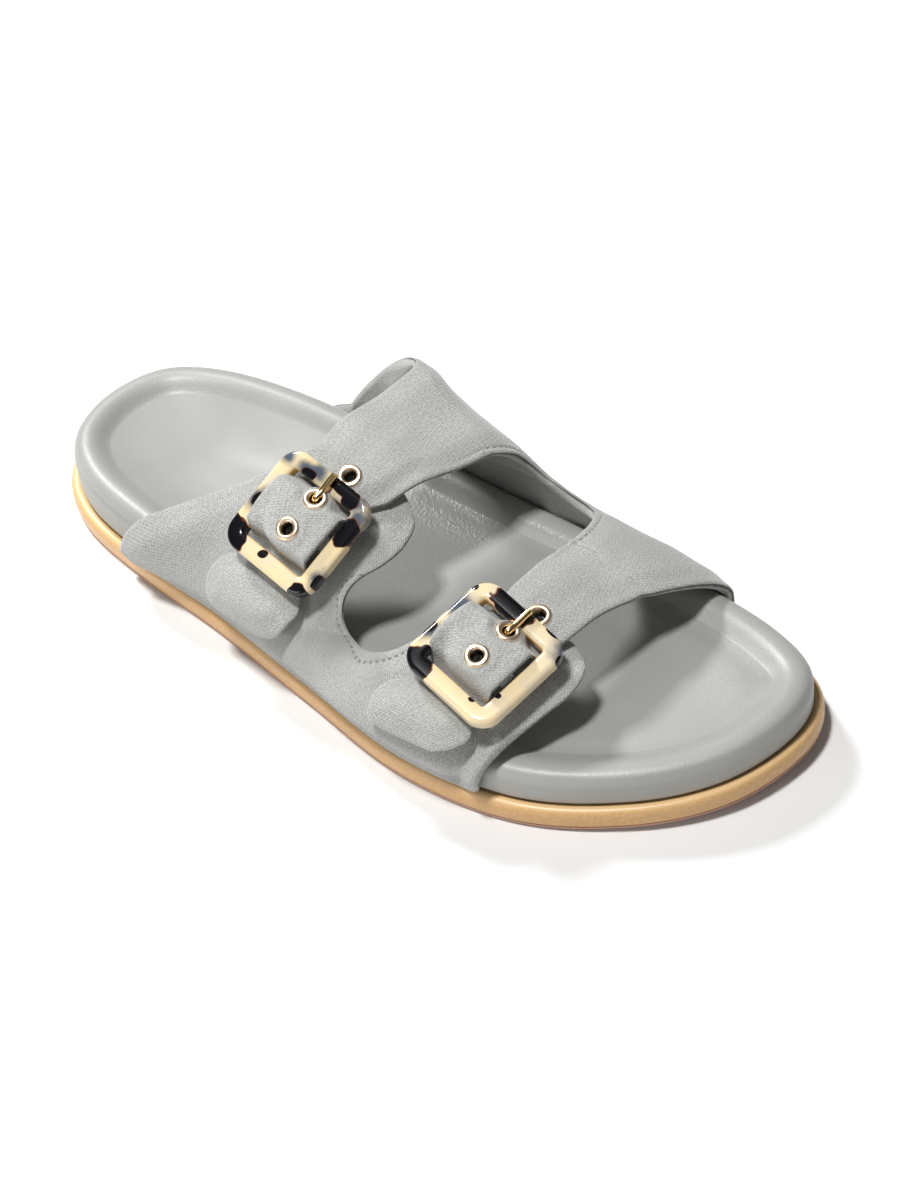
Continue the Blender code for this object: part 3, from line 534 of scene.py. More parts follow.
def cutHoles(loop):
    # faces over an eyelet's barrel are dropped, and the points left inside the barrel move out to its wall
    drop = np.zeros((loop.shape[0] - 1, loop.shape[1]), bool)
    wrapped = np.concatenate([loop, loop[:, :1]], axis=1)
    centres = 0.25 * (wrapped[:-1, :-1] + wrapped[1:, :-1] + wrapped[:-1, 1:] + wrapped[1:, 1:])
    for origin, axis in eyeletLines():
        high, offset = fromAxis(centres, origin, axis)
        beside = np.linalg.norm(offset, axis=-1)
        drop |= (beside < eyelets["barrel"] - eyelets["holeMargin"]) & (np.abs(high) < 8)
        high, offset = fromAxis(loop, origin, axis)
        beside = np.maximum(np.linalg.norm(offset, axis=-1), 1e-6)
        push = np.clip(eyelets["barrel"] + eyelets["holeMargin"] - beside, 0, None) * (np.abs(high) < 8)
        loop = loop + offset * (push / beside)[..., None]
    return loop, drop


def foldRelief(x, y, folds):
    # sum of soft ridges and troughs: a bell across each line that fades in and out along it
    relief = np.zeros(x.shape)
    for x0, y0, x1, y1, width, height in folds:
        way = np.array([x1 - x0, y1 - y0])
        long = np.linalg.norm(way)
        way = way / long
        alongWay = (x - x0) * way[0] + (y - y0) * way[1]
        beside = (y - y0) * way[0] - (x - x0) * way[1]
        fade = smooth(-0.15 * long, 0.25 * long, alongWay) * (1 - smooth(0.75 * long, 1.15 * long, alongWay))
        relief = relief + height * bell(beside, width) * fade
    return relief


def makeMaterial(name, colour, roughness, metallic=0.0, coat=0.0):
    # principled shader with one colour, to which the details are added
    mat = bpy.data.materials.new(name)
    mat.use_nodes = True
    shader = mat.node_tree.nodes["Principled BSDF"]
    shader.inputs["Base Color"].default_value = (*colour, 1.0)
    shader.inputs["Roughness"].default_value = roughness
    shader.inputs["Metallic"].default_value = metallic
    shader.inputs["Coat Weight"].default_value = coat
    return mat


def addNode(mat, kind, inputs=(), **settings):
    # a node with its settings; each input is a value or another node's output
    made = mat.node_tree.nodes.new("ShaderNode" + kind)
    for title, value in settings.items():
        setattr(made, title, value)
    for place, value in dict(inputs).items():
        if isinstance(value, bpy.types.NodeSocket):
            mat.node_tree.links.new(value, made.inputs[place])
        else:
            made.inputs[place].default_value = value
    return made.outputs


def sums(mat, operation, first, second=0.0):
    # one arithmetic step
    return addNode(mat, "Math", {0: first, 1: second}, operation=operation)[0]


def scaled(mat, value, factor, base=0.0):
    # value times factor, plus base
    return addNode(mat, "Math", {0: value, 1: factor, 2: base}, operation="MULTIPLY_ADD")[0]


def between(mat, value, low, high):
    # 0 below low, 1 above high, with a soft step
    return addNode(mat, "MapRange", {"Value": value, "From Min": low, "From Max": high},
                   interpolation_type="SMOOTHSTEP")[0]


def blend(mat, share, first, second):
    # colour that goes from the first to the second as the share goes from 0 to 1
    return addNode(mat, "Mix", {0: share, 6: first, 7: second}, data_type="RGBA")[2]


def inMillimetres(mat, source):
    # the piece's own coordinates, in millimetres
    place = addNode(mat, "TexCoord")[source]
    return addNode(mat, "VectorMath", {0: place, "Scale": 1000.0}, operation="SCALE")[0]


def noise(mat, place, scale, detail=2.0):
    # grey noise from 0 to 1, about one blotch for each 1/scale millimetres
    return addNode(mat, "TexNoise", {"Vector": place, "Scale": scale, "Detail": detail})[0]


def attribute(mat, name):
    # value that the mesh carries at each point
    return addNode(mat, "Attribute", attribute_name=name)["Fac"]


def finish(mat, **inputs):
    # feeds the shader's own sockets
    shader = mat.node_tree.nodes["Principled BSDF"]
    for title, value in inputs.items():
        title = title.replace("_", " ")
        if isinstance(value, bpy.types.NodeSocket):
            mat.node_tree.links.new(value, shader.inputs[title])
        else:
            shader.inputs[title].default_value = value


def bumped(mat, height, distance, strength=1.0):
    # normal from a height of 0 to 1 that stands for that many metres
    return addNode(mat, "Bump", {"Height": height, "Distance": distance, "Strength": strength})["Normal"]


knit = {
    "rib": 0.60, "course": 0.43, "speckle": 1.4, "patch": 0.045, "height": 0.00016,
    "weaveShare": 0.35, "patchShare": 0.30, "toneRange": (0.42, 1.06),
    # one dark colour for the stitches and for the painted shade in the notch groove
    "dark": (0.285, 0.286, 0.275, 1), "light": (0.515, 0.517, 0.50, 1), "stitchAndGrooveShade": (0.10, 0.10, 0.095, 1),
    "stitchInset": 2.0, "stitchPitch": 2.0,
}


def makeKnit(name, source, sewn):
    # fine ribs across each other with a speckle of two greys; sewn panels also carry a line of stitches and
    # painted shade in the edge notch
    mat = makeMaterial(name, (0.35, 0.35, 0.335), 0.92)
    place = inMillimetres(mat, source)
    ribs = addNode(mat, "TexWave", {"Vector": place, "Scale": knit["rib"], "Distortion": 0.4},
                   bands_direction="DIAGONAL")["Fac"]
    courses = addNode(mat, "TexWave", {"Vector": place, "Scale": knit["course"], "Distortion": 0.5},
                      bands_direction="X")["Fac"]
    speckle = noise(mat, place, knit["speckle"], 4.0)
    patch = noise(mat, place, knit["patch"])
    weave = scaled(mat, ribs, courses)
    tone = scaled(mat, weave, knit["weaveShare"], scaled(mat, patch, knit["patchShare"], speckle))
    colour = blend(mat, between(mat, tone, *knit["toneRange"]), knit["dark"], knit["light"])
    height = scaled(mat, speckle, 0.8, weave)
    if sewn:
        cut, run, notchShade = (attribute(mat, title) for title in ("cut", "run", "notchShade"))
        beside = sums(mat, "ABSOLUTE", sums(mat, "SUBTRACT", cut, knit["stitchInset"]))
        dash = sums(mat, "FRACT", sums(mat, "DIVIDE", run, knit["stitchPitch"]))
        dash = scaled(mat, between(mat, dash, 0.40, 0.52), between(mat, dash, 1.0, 0.9))
        stitch = scaled(mat, between(mat, beside, 0.36, 0.18), dash)
        height = scaled(mat, stitch, -1.5, height)
        # stitches darken by their own colour; the notch groove darkens with painted shade
        dark = scaled(mat, notchShade, 0.75, scaled(mat, stitch, 0.55))
        colour = blend(mat, dark, colour, knit["stitchAndGrooveShade"])
    finish(mat, Base_Color=colour, Normal=bumped(mat, height, knit["height"], 0.7),
           Sheen_Weight=0.35, Sheen_Roughness=0.45, Specular_IOR_Level=0.15)
    return mat


leatherLook = {
    "tones": ((0.345, 0.348, 0.331, 1), (0.378, 0.381, 0.363, 1)), "rough": 0.37, "uneven": 0.12,
    "onSlope": -0.13, "onSeat": 0.22,
}


def makeLeather():
    # smooth leather: slow change of tone, a fine grain, wrinkles on the inner slopes, and a satin gloss
    mat = makeMaterial("leather", (0.38, 0.38, 0.36), 0.45, coat=0.08)
    place = inMillimetres(mat, "Object")
    tone = noise(mat, place, 0.035)
    colour = blend(mat, between(mat, tone, 0.3, 0.7), *leatherLook["tones"])
    grain = addNode(mat, "TexVoronoi", {"Vector": place, "Scale": 1.1})["Distance"]
    stretched = addNode(mat, "VectorMath", {0: place, 1: (1.2, 0.8, 0.8)}, operation="MULTIPLY")[0]
    wrinkle = scaled(mat, noise(mat, stretched, 1.0, 3.0), attribute(mat, "slope"))
    height = scaled(mat, wrinkle, 2.2, scaled(mat, grain, 0.5))
    rough = scaled(mat, noise(mat, place, 0.5, 3.0), leatherLook["uneven"], leatherLook["rough"])
    rough = scaled(mat, attribute(mat, "slope"), leatherLook["onSlope"], rough)
    rough = scaled(mat, attribute(mat, "seat"), leatherLook["onSeat"], rough)
    finish(mat, Base_Color=colour, Roughness=rough, Normal=bumped(mat, height, 0.00012, 0.65),
           Coat_Roughness=0.28)
    return mat


# the pale ledge colour is a painted highlight on the top face of the sole plate
treadLook = {
    "wall": ((0.60, 0.345, 0.135, 1), (0.72, 0.44, 0.19, 1)), "ledge": (0.80, 0.53, 0.26, 1),
    "low": ((0.40, 0.20, 0.115, 1), (0.62, 0.36, 0.24, 1)),
}


def makeTread():
    # the level over the floor gives the bands: brown tread, tan wall, and a pale ledge that is a painted
    # highlight on the top face
    mat = makeMaterial("tread", (0.78, 0.50, 0.24), 0.42, coat=0.25)
    place = inMillimetres(mat, "Object")
    level = attribute(mat, "level")
    speckle = noise(mat, place, 1.3, 4.0)
    wall = blend(mat, between(mat, speckle, 0.3, 0.75), *treadLook["wall"])
    # the top face and its rounded edge take the paler ledge colour: painted highlight
    colour = blend(mat, between(mat, level, 6.3, 7.3), wall, treadLook["ledge"])
    upwards = addNode(mat, "CombineXYZ", {2: level})[0]
    line = addNode(mat, "TexWave", {"Vector": upwards, "Scale": 0.55}, bands_direction="Z")["Fac"]
    low = blend(mat, between(mat, line, 0.2, 0.7), *treadLook["low"])
    colour = blend(mat, between(mat, level, 1.75, 1.45), colour, low)
    finish(mat, Base_Color=colour, Normal=bumped(mat, speckle, 0.00008, 0.5), Coat_Roughness=0.3)
    return mat


acetateLook = {
    "cream": ((0.80, 0.64, 0.38, 1), (0.70, 0.60, 0.43, 1)), "amber": (0.74, 0.42, 0.10, 1),
    "smoke": (0.075, 0.095, 0.12, 1), "brown": (0.11, 0.020, 0.006, 1), "dark": (0.004, 0.004, 0.006, 1),
}


def makeAcetate():
    # cream with smoky and near-black patches whose edges are thin and brown, and amber at the inner edges
    mat = makeMaterial("acetate", (0.74, 0.60, 0.36), 0.25, coat=0.75)
    place = inMillimetres(mat, "Object")
    ragged = scaled(mat, noise(mat, place, 0.26, 1.5), 0.8, -0.40)
    cloud = noise(mat, place, 0.11)
    colour = blend(mat, between(mat, cloud, 0.35, 0.65), *acetateLook["cream"])
    colour = blend(mat, attribute(mat, "amber"), colour, acetateLook["amber"])
    drift = scaled(mat, noise(mat, place, 0.17, 2.0), 1.9, -0.95)
    smoke = between(mat, sums(mat, "ADD", attribute(mat, "smoke"), drift), -0.45, 0.75)
    colour = blend(mat, smoke, colour, acetateLook["smoke"])
    dark = sums(mat, "ADD", attribute(mat, "dark"), ragged)
    colour = blend(mat, between(mat, dark, -0.07, 0.01), colour, acetateLook["brown"])
    colour = blend(mat, between(mat, dark, 0.02, 0.07), colour, acetateLook["dark"])
    finish(mat, Base_Color=colour, Coat_Roughness=0.05, Specular_IOR_Level=0.1)
    return mat


def makeGold(name, colour, roughness):
    # plated metal with faint unevenness, and painted shade darkening it inside the narrow barrels
    mat = makeMaterial(name, colour, roughness, 1.0)
    uneven = noise(mat, inMillimetres(mat, "Object"), 0.35, 2.0)
    rough = scaled(mat, uneven, 0.12, roughness - 0.05)
    # painted shade: deep inside the barrel the metal is blended to near black
    shade = blend(mat, attribute(mat, "barrelShade"), (*colour, 1), (0.05, 0.035, 0.02, 1))
    finish(mat, Base_Color=shade, Roughness=rough)
    return mat


fabric = makeKnit("fabric", "UV", True)
loopFabric = makeKnit("loopFabric", "Object", False)
leather = makeLeather()
tread = makeTread()
acetate = makeAcetate()
gold = makeGold("gold", (0.88, 0.63, 0.30), 0.18)
paleGold = makeGold("paleGold", (0.86, 0.68, 0.50), 0.36)

# Folds, given one by one: a line on the arch (along, round it) from one end to the other, then width and
# height
medialFolds = [
    # pinches inside the rear frame and the front frame
    (107.5, -41.5, 111.0, -35.5, 2.2, -2.8), (104.5, -36.0, 110.0, -32.0, 2.2, -0.7),
    (174.8, -38.5, 179.0, -32.0, 2.4, -3.2), (176.0, -31.0, 182.0, -27.5, 2.2, -0.6),
    (174.0, -22.5, 177.0, -30.5, 2.2, 0.7), (181.0, -19.5, 181.5, -24.5, 1.6, -0.6),
    # roll along the heel edge of the rear strap
    (96.0, 22.0, 80.0, 45.0, 4.2, 1.3), (104.0, 20.0, 89.0, 46.0, 3.6, -0.9),
    (118.0, -3.0, 104.0, 34.0, 6.0, 0.5), (126.0, -12.0, 128.0, 20.0, 5.0, -0.35),
    # pull beside the rear frame
    (128.0, -24.0, 132.0, -12.0, 2.4, -0.45), (121.0, -20.0, 121.0, -8.0, 3.0, 0.3),
    # slow waves of the inner side
    (150.0, 30.0, 118.0, 52.0, 9.0, 0.7), (136.0, 34.0, 104.0, 62.0, 8.0, -0.7),
    (165.0, 31.0, 178.0, 54.0, 9.0, -0.7), (188.0, 24.0, 196.0, 50.0, 8.0, 0.6),
    # tuck where the cut-out ends, and pull beside the front frame
    (171.0, 8.5, 177.5, 12.5, 1.1, -0.9), (172.0, 4.0, 180.0, 7.0, 1.6, 0.5),
    (190.0, -16.0, 199.0, -6.0, 3.0, -0.4), (186.0, -14.0, 190.0, 6.0, 4.0, 0.35),
    # tails of the straps
    (104.0, -51.0, 122.0, -48.0, 3.0, 0.45), (172.0, -49.0, 190.0, -46.0, 3.0, 0.45),
]
lateralFolds = [
    # puckers under the rear frame
    (133.3, -51.0, 132.0, -40.5, 1.7, 0.9), (136.6, -46.0, 135.2, -38.0, 1.5, -0.8),
    (129.0, -50.0, 128.6, -42.0, 1.6, -0.7), (139.0, -47.0, 138.0, -39.0, 1.3, 0.4),
    # slow waves of the rear wing and of the bridge between the wings
    (62.0, -55.0, 86.0, -44.0, 3.4, 0.6), (70.0, -64.0, 96.0, -58.0, 6.0, -0.5),
    (140.0, -60.0, 168.0, -60.0, 7.0, 0.5), (150.0, -68.0, 176.0, -65.0, 4.0, -0.4),
    # ridge and trough along the front wing's toe edge
    (196.8, -73.0, 203.2, -38.0, 2.4, 1.9), (190.6, -72.0, 197.6, -36.0, 2.4, -2.0),
]

medial = makePanel("fabric_inner_panel", medialRows, True, medialFolds, fabric)
placeOnShoe(medial, "upper_medial")
lateral = makePanel("fabric_outer_panel", lateralRows, False, lateralFolds, fabric)
placeOnShoe(lateral, "upper_lateral")
print("fabric panels ready")

# Sole plate: (inset, height over the tread) round its edge, from the tread up to the ledge
outsoleProfile = [
    (6.0, 0.0), (1.4, 0.0), (0.7, 0.12), (0.3, 0.4), (0.2, 0.8), (0.22, 1.2), (0.5, 1.32), (0.5, 1.5),
    (0.15, 1.65), (0.0, 2.2), (0.0, 3.0), (0.0, 3.8), (0.0, 4.6), (0.05, 5.3), (0.2, 6.0), (0.5, 6.6),
    (1.0, 7.1), (1.6, 7.36), (2.2, 7.4), (2.7, 7.3), (3.1, 7.1), (3.5, 6.9), (4.4, 6.9), (9.0, 7.0),
]
rimProfile = [  # (inset from the footbed's wall, share of the rim's height)
    (0.7, 0.0), (0.25, 0.03), (0.0, 0.09), (0.0, 0.2), (0.0, 0.32), (0.0, 0.44), (0.0, 0.54), (0.0, 0.62),
    (0.03, 0.655), (0.06, 0.68), (0.1, 0.70), (0.15, 0.72), (0.22, 0.74), (0.34, 0.77), (0.52, 0.81),
    (0.85, 0.86), (1.3, 0.903), (1.9, 0.94), (2.6, 0.968), (3.4, 0.988), (4.3, 0.998), (5.2, 1.0),
    (6.1, 0.992), (7.1, 0.968), (8.2, 0.925), (9.3, 0.87), (10.4, 0.81), (11.5, 0.76),
]
floorLine = [(0.0, 14.5), (45.0, 12.6), (105.0, 16.0), (150.0, 16.2), (190.0, 14.6), (262.0, 15.2)]
footbed = {
    "creaseRise": 0.70, "creaseWidth": 0.022, "creaseDepth": 0.28,
    "grooveInset": 2.4, "grooveWidth": 2.3, "grooveDepth": 0.32, "halfBreadth": 32.0,
    "spineShare": 0.62, "floorEdge": 0.25, "bowl": 1.7, "floorRings": 44, "ringSpread": 1.3,
    "sides": 440, "wallShare": (0.55, 1.0),
    # where each form begins and ends, as shares of the length
    "rimDrop": (0.15, 0.75), "crease": (0.20, 0.30), "groove": (0.3, 0.6), "cup": (0.35, 0.6),
    # where the leather is wrinkled and polished, and the matt heel seat, in millimetres from the heel
    "polish": (85.0, 115.0), "polishEnd": (180.0, 205.0), "polishLoss": 0.75, "seatEnd": (80.0, 125.0),
    # the polished slope itself: rise and inset on the rim, share of the floor, and the inner half round it
    "slopeRise": 0.9, "slopeInset": (5.0, 9.0), "slopeFloor": (0.45, 0.8), "innerHalf": (-0.2, 0.5),
}


def makeOutsole():
    # rings round the outline at the profile's insets and heights, closed by flat caps
    turn = 2 * np.pi * np.arange(sole["sides"]) / sole["sides"]
    rings, levels = [], []
    for inset, height in outsoleProfile:
        flat = outlinePoints(turn, inset)
        rings.append(np.column_stack([flat, height + spring(flat[:, 0])]))
        levels.append(np.full(turn.shape, height))
    values = {"level": np.array(levels)}
    return gridMesh("sole_plate", np.array(rings), False, True, tread, values=values, caps=True)


def footbedFloor(along):
    # height of the footbed's middle line: soft steps from each station to the next
    places, heights = np.array(floorLine).T
    steps = zip(places, places[1:], np.diff(heights))
    return heights[0] + sum(step * smooth(low, high, along) for low, high, step in steps) + spring(along)


def makeFootbed():
    # rings from the bottom over the rim, then drawn in over the floor to the middle line
    turn = 2 * np.pi * np.arange(footbed["sides"]) / footbed["sides"]
    wall = outlinePoints(turn, sole["ledge"])
    share = wall[:, 0] / sole["length"]
    rim = sole["rimHeel"] + (sole["rimToe"] - sole["rimHeel"]) * smooth(*footbed["rimDrop"], share)
    rim = rim + spring(wall[:, 0])
    bottom = sole["thick"] + sole["gap"] + spring(wall[:, 0])
    heel = 1 - smooth(*footbed["crease"], share)
    rings = []
    for inset, rise in rimProfile:
        crease = footbed["creaseDepth"] * bell(rise - footbed["creaseRise"], footbed["creaseWidth"]) * heel
        flat = outlinePoints(turn, sole["ledge"] + inset + crease)
        rings.append(np.column_stack([flat, bottom + rise * (rim - bottom)]))
    edge = rings[-1]
    spine = 0.5 * sole["length"] + (edge[:, 0] - 0.5 * sole["length"]) * footbed["spineShare"]
    spine = np.column_stack([spine, 0.5 * (sideBreadth(spine, 1) + sideBreadth(spine, -1))])
    groove = footbed["grooveDepth"] * smooth(*footbed["groove"], share)
    cup = 1 - smooth(*footbed["cup"], share)
    slopes = [np.full(len(turn), (rise > footbed["slopeRise"]) * smooth(*footbed["slopeInset"], inset))
              for inset, rise in rimProfile]
    for part in 1 - np.linspace(0, 1, footbed["floorRings"])[1:] ** footbed["ringSpread"]:
        flat = spine + (edge[:, :2] - spine) * part
        bowl = max(0.0, (part - footbed["floorEdge"]) / (1 - footbed["floorEdge"])) ** footbed["bowl"]
        toeWall = smooth(*footbed["wallShare"], part)
        above = (edge[:, 2] - footbedFloor(edge[:, 0])) * (bowl * cup + toeWall * (1 - cup))
        inward = (1 - part) * footbed["halfBreadth"] - footbed["grooveInset"]
        height = footbedFloor(flat[:, 0]) + above - groove * bell(inward, footbed["grooveWidth"])
        rings.append(np.column_stack([flat, height]))
        slopes.append(np.full(len(turn), smooth(*footbed["slopeFloor"], part)))
    rings = np.array(rings)
    innerSide = smooth(*footbed["innerHalf"], np.sin(turn)) * smooth(*footbed["polish"], wall[:, 0])
    innerSide = innerSide * (1 - footbed["polishLoss"] * smooth(*footbed["polishEnd"], wall[:, 0]))
    slopes = np.array(slopes) * innerSide
    onFloor = (np.arange(len(rings)) >= len(rimProfile))[:, None]
    seat = onFloor * (1 - smooth(*footbed["seatEnd"], rings[..., 0]))
    return gridMesh("leather_footbed", rings, False, True, leather, values={"slope": slopes, "seat": seat})


soleplate = makeOutsole()
placeOnShoe(soleplate, "outsole")
bed = makeFootbed()
placeOnShoe(bed, "footbed")
print("sole ready")


def buckleToShoe(name, points):
    # from a buckle's own axes (along, across, outwards) to millimetres from the heel
    centre, forward, across, normal = buckleAxes(name)
    return centre + points[..., 0:1] * forward + points[..., 1:2] * across + points[..., 2:3] * normal


# Patches of the acetate in the frame's plane: (place along, place across, two radii, turn in degrees)
darkPatches = {
    "rear": [
        (-15.0, -15.2, 6.4, 6.2, 10), (-14.8, -1.8, 1.5, 2.4, 0), (-2.0, -13.4, 1.7, 1.4, 30),
        (14.2, -16.0, 3.2, 2.8, 25), (-6.7, 13.0, 2.7, 1.7, 20), (4.8, 15.8, 4.8, 2.2, 5),
        (9.4, 14.4, 2.8, 2.8, 0), (14.8, 6.6, 3.2, 4.6, 0), (17.0, -9.9, 1.0, 2.2, 0),
    ],
    "front": [
        (-12.5, -15.3, 6.4, 4.6, 0), (-12.4, -10.4, 1.7, 1.5, 0), (-16.8, -5.2, 1.6, 2.3, 0),
        (-16.8, 12.4, 1.2, 1.1, 0), (-4.1, 15.0, 8.0, 3.6, 0), (9.6, 17.2, 2.4, 0.9, 0),
        (17.2, 13.1, 0.9, 1.8, 0), (12.6, -6.6, 1.0, 0.8, 30), (8.0, -12.4, 1.0, 0.7, 0),
    ],
}
smokePatches = {
    "rear": [
        (-14.8, -1.6, 3.8, 4.8, 0), (-3.9, 15.2, 3.4, 3.0, 0), (9.5, 14.8, 5.4, 3.8, 0),
        (15.0, 9.5, 4.0, 5.4, 0), (16.4, -9.0, 1.8, 3.6, 0), (-7.5, 13.6, 4.4, 2.8, 0),
        (-15.6, 14.0, 2.4, 3.6, 20),
    ],
    "front": [(-15.5, 5.8, 3.6, 4.6, 0), (15.8, 15.8, 4.6, 4.0, 0), (-16.0, -5.6, 3.0, 3.8, 0)],
}


def patchField(flat, patches):
    # 1 in the middle of a patch, 0 on its oval edge, and below 0 outside
    x, y = flat[..., 0], flat[..., 1]
    field = np.full(x.shape, -1.0)
    for middleX, middleY, long, wide, turn in patches:
        angle = np.radians(turn)
        u = (x - middleX) * np.cos(angle) + (y - middleY) * np.sin(angle)
        v = (y - middleY) * np.cos(angle) - (x - middleX) * np.sin(angle)
        field = np.maximum(field, 1 - np.sqrt((u / long) ** 2 + (v / wide) ** 2))
    return field


def roundedPath(half, radius, cornerSteps, sideSteps):
    # rectangle with round corners, and the ways outwards: a quarter circle, then a straight run
    corners = np.array([(1, 1), (-1, 1), (-1, -1), (1, -1)])
    part = np.linspace(0, 1, sideSteps)[1:-1, None]
    path, outwards = [], []
    for quarter, sign in enumerate(corners):
        angle = np.linspace(0, np.pi / 2, cornerSteps) + quarter * np.pi / 2
        way = np.column_stack([np.cos(angle), np.sin(angle)])
        corner = half * sign + radius * way
        following = half * corners[(quarter + 1) % 4] + radius * way[-1]
        path += [corner, (1 - part) * corner[-1] + part * following]
        outwards += [way, np.repeat(way[-1:], len(part), 0)]
    return np.concatenate(path), np.concatenate(outwards)


def barSection(width, height, radius, crown):
    # section of a bar: a rectangle with round corners and a slightly domed top
    half = 0.5 * np.array([width, height]) - radius
    section = roundedPath(half, radius, cornerSteps=8, sideSteps=6)[0]
    dome = crown * (1 - (section[:, 0] / (0.5 * width)) ** 2) * (section[:, 1] > 0.5 * height - 0.01)
    return section + np.column_stack([np.zeros(len(section)), dome])


def makeBuckle(name):
    # the bar's section carried round a square with round corners
    half = 0.5 * (buckleFrame["side"] - buckleFrame["bar"]) - buckleFrame["corner"]
    path, outwards = roundedPath(half, buckleFrame["corner"], cornerSteps=17, sideSteps=50)
    section = barSection(*(buckleFrame[key] for key in ("bar", "thick", "edge", "dome")))
    flat = path[:, None] + outwards[:, None] * section[None, :, 0:1]
    points = np.concatenate([flat, np.broadcast_to(section[None, :, 1:2], flat.shape[:2] + (1,))], -1)
    # amber shows low on the inner edge
    inner, high = -section[:, 0], section[:, 1]
    amber = smooth(*buckleFrame["amberInner"], inner) * smooth(*buckleFrame["amberTop"], high)
    values = {
        "dark": patchField(flat, darkPatches[name]),
        "smoke": patchField(flat, smokePatches[name]),
        "amber": np.broadcast_to(buckleFrame["amber"] * amber, flat.shape[:2]),
    }
    placed = buckleToShoe(name, points)
    return gridMesh("acetate_frame_" + name, placed, True, True, acetate, values=values)


prong = {
    "thick": 2.2, "tip": 17.6, "start": (1.5, -0.9), "inEyelet": (-5.0, -2.6, -0.6), "onFrame": (11.3, 14.3),
    "clear": 0.25, "tipDrift": 0.7, "pathSteps": 60, "sides": 28, "eye": 0.9, "eyeHalf": 1.1,
}


def makeTube(name, buckle, path, radius, material):
    # round rod along a path in the buckle's own axes, with eased ends
    path = np.asarray(path, float)
    way = unit(np.gradient(path, axis=0))
    first = unit(np.cross(way, np.roll(np.eye(3), 1, axis=0)[np.argmin(np.abs(way).max(0))]))
    second = np.cross(way, first)
    ends = np.array([[0.72, 0.0], [0.93, 0.08], [1.0, 0.25]])
    size = np.concatenate([ends[:, 0], np.ones(len(path)), ends[::-1, 0]])
    along = np.concatenate([path[:1] + way[:1] * ends[:, 1:], path, path[-1:] - way[-1:] * ends[::-1, 1:]])
    pick = np.clip(np.arange(len(along)) - 3, 0, len(path) - 1)
    order = np.r_[0:3, 3 + 1:3 + len(path) - 1, len(along) - 3:len(along)]
    turn = (2 * np.pi * np.arange(prong["sides"]) / prong["sides"])[None, :, None]
    ring = first[pick][:, None] * np.cos(turn) + second[pick][:, None] * np.sin(turn)
    points = along[:, None] + ring * (radius * size)[:, None, None]
    return gridMesh(name, buckleToShoe(buckle, points[order]), False, True, material, caps=True)


def makeTurned(name, profile, origin, first, second, axis, material):
    # closed profile of (radius, height) turned round an axis; how deep a point lies in the barrel is kept for
    # the painted shade there
    profile = np.array(profile)
    turn = 2 * np.pi * np.arange(eyelets["sides"]) / eyelets["sides"]
    around = first * np.cos(turn)[:, None] + second * np.sin(turn)[:, None]
    points = origin + around[:, None] * profile[None, :, 0:1] + axis * profile[None, :, 1:2]
    barrelShade = smooth(*eyelets["barrelShadeHeight"], profile[:, 1]) * (profile[:, 0] < eyelets["barrelShadeRadius"])
    barrelShade = np.broadcast_to(barrelShade, points.shape[:2])
    return gridMesh(name, points, True, True, material, values={"barrelShade": barrelShade})


eyeletProfile = [  # (radius, height over the cloth)
    (3.45, -0.7), (3.68, -0.5), (3.74, -0.2), (3.66, 0.12), (3.45, 0.36), (3.15, 0.52), (2.8, 0.58),
    (2.45, 0.52), (2.15, 0.34), (1.96, 0.08), (1.9, -0.25), (1.9, -1.6), (1.9, -3.6), (2.0, -3.85),
    (2.25, -3.85), (2.25, -0.7),
]


def prongPath(name):
    # off the centre bar, straight up its eyelet, then level over the frame's bar
    centre, _, across, normal = buckleAxes(name)
    origin, _, _, axis = eyeletAxes(name, "prong")
    hole = np.array([(origin - centre) @ across, (origin - centre) @ normal])
    way = np.array([axis @ across, axis @ normal])
    top = 0.5 * buckleFrame["thick"] + sole["gap"] + prong["clear"] + 0.5 * prong["thick"]
    stations = [prong["start"]] + [hole + way * reach for reach in prong["inEyelet"]]
    stations += [(reach, top) for reach in prong["onFrame"] + (prong["tip"],)]
    places = catmull(stations, np.linspace(0, len(stations) - 1, prong["pathSteps"]))
    sideways = eyelets["places"]["prong"][1] * np.linspace(1.0, prong["tipDrift"], len(places))
    return np.column_stack([sideways, places])


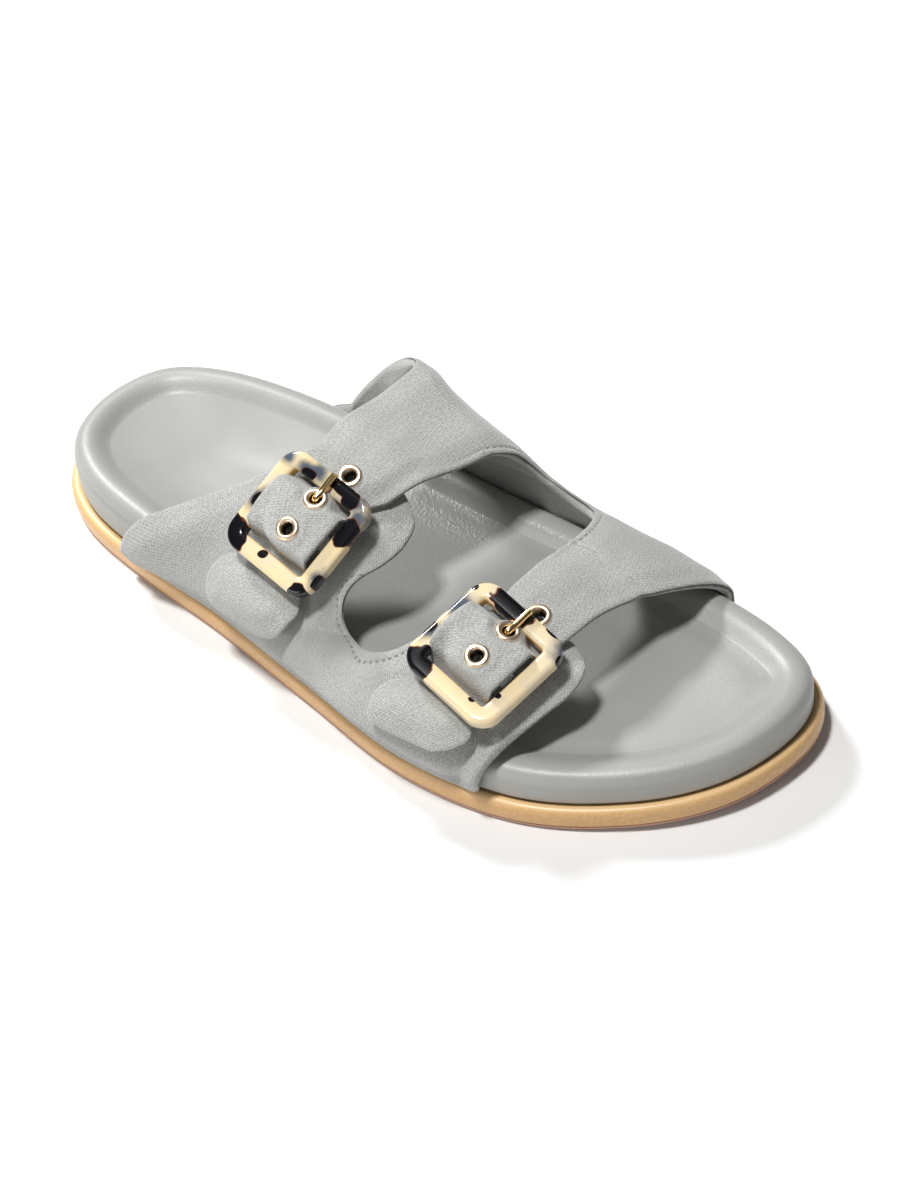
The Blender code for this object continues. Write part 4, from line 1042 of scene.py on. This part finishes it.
for name in buckles:
    item = makeBuckle(name)
    placeOnShoe(item, "buckle_frame_" + name)
    reach = 0.5 * buckleFrame["side"] - buckleFrame["bar"] + buckleFrame["barInset"]
    bar = np.linspace((-reach, 0, -buckleFrame["drop"]), (reach, 0, -buckleFrame["drop"]), 12)
    item = makeTube("centre_bar_" + name, name, bar, 0.5 * buckleFrame["centreBar"], acetate)
    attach(item, "root")
    item = makeTube("gold_prong_" + name, name, prongPath(name), 0.5 * prong["thick"], gold)
    placeOnShoe(item, "prong_" + name)
    centre, forward, across, normal = buckleAxes(name)
    hole = 0.5 * buckleFrame["centreBar"] + sole["gap"]
    rim, long = hole + prong["eye"], prong["eyeHalf"]
    eye = [(hole, -long), (hole, long), (rim, long), (rim, -long)]
    middle = centre - normal * buckleFrame["drop"] + forward * eyelets["places"]["prong"][1]
    item = makeTurned("prong_eye_" + name, eye, middle, across, normal, forward, gold)
    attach(item, "root")
    for place in eyelets["places"]:
        title = name + "_" + place
        item = makeTurned("gold_eyelet_" + title, eyeletProfile, *eyeletAxes(name, place), paleGold)
        placeOnShoe(item, "eyelet_" + title)
    for place in ("heel", "toe"):
        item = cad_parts["bar_loop_" + name + "_" + place]
        item.data.materials.clear()
        item.data.materials.append(loopFabric)
print("buckles ready")

# Square lights that look at the shoe's middle: place in metres, size, energy, colour
aim = Vector((0, 0, 0.02))
lights = {
    "key": ((-0.13, -0.28, 1.47), 0.20, 18, (1, 0.998, 0.99)),
    "heel": ((-1.02, 0.26, 1.08), 0.24, 16, (1, 1, 1)),
    "outer": ((-0.3, -1.45, 0.42), 0.8, 5.5, (1, 1, 1)),
    "fill": ((1.1, -1.0, 0.4), 1.0, 2.5, (0.98, 0.99, 1)),
}
for name, (place, size, energy, colour) in lights.items():
    lamp = bpy.data.lights.new(name, "AREA")
    lamp.energy = energy
    lamp.color = colour
    lamp.shape = "SQUARE"
    lamp.size = size
    item = addItem(name, lamp)
    item.location = place
    item.rotation_euler = (aim - Vector(place)).to_track_quat("-Z", "Y").to_euler()
world = bpy.data.worlds.new("studio")
bpy.context.scene.world = world
world.use_nodes = True
background = world.node_tree.nodes["Background"].inputs
background["Color"].default_value = (1, 1, 1, 1)
background["Strength"].default_value = 0.08
bpy.context.scene.view_settings.view_transform = "Standard"

floorSize, floorLevel = 6.0, -0.0002
corners = [(x * floorSize, y * floorSize, floorLevel) for x, y in ((-1, -1), (1, -1), (1, 1), (-1, 1))]
floorMesh = bpy.data.meshes.new("floor")
floorMesh.from_pydata(corners, [], [(0, 1, 2, 3)])
floorMesh.materials.append(makeMaterial("paleFloor", (0.86, 0.86, 0.86), 0.9))
floor = addItem("floor", floorMesh)
print("lights and floor ready")
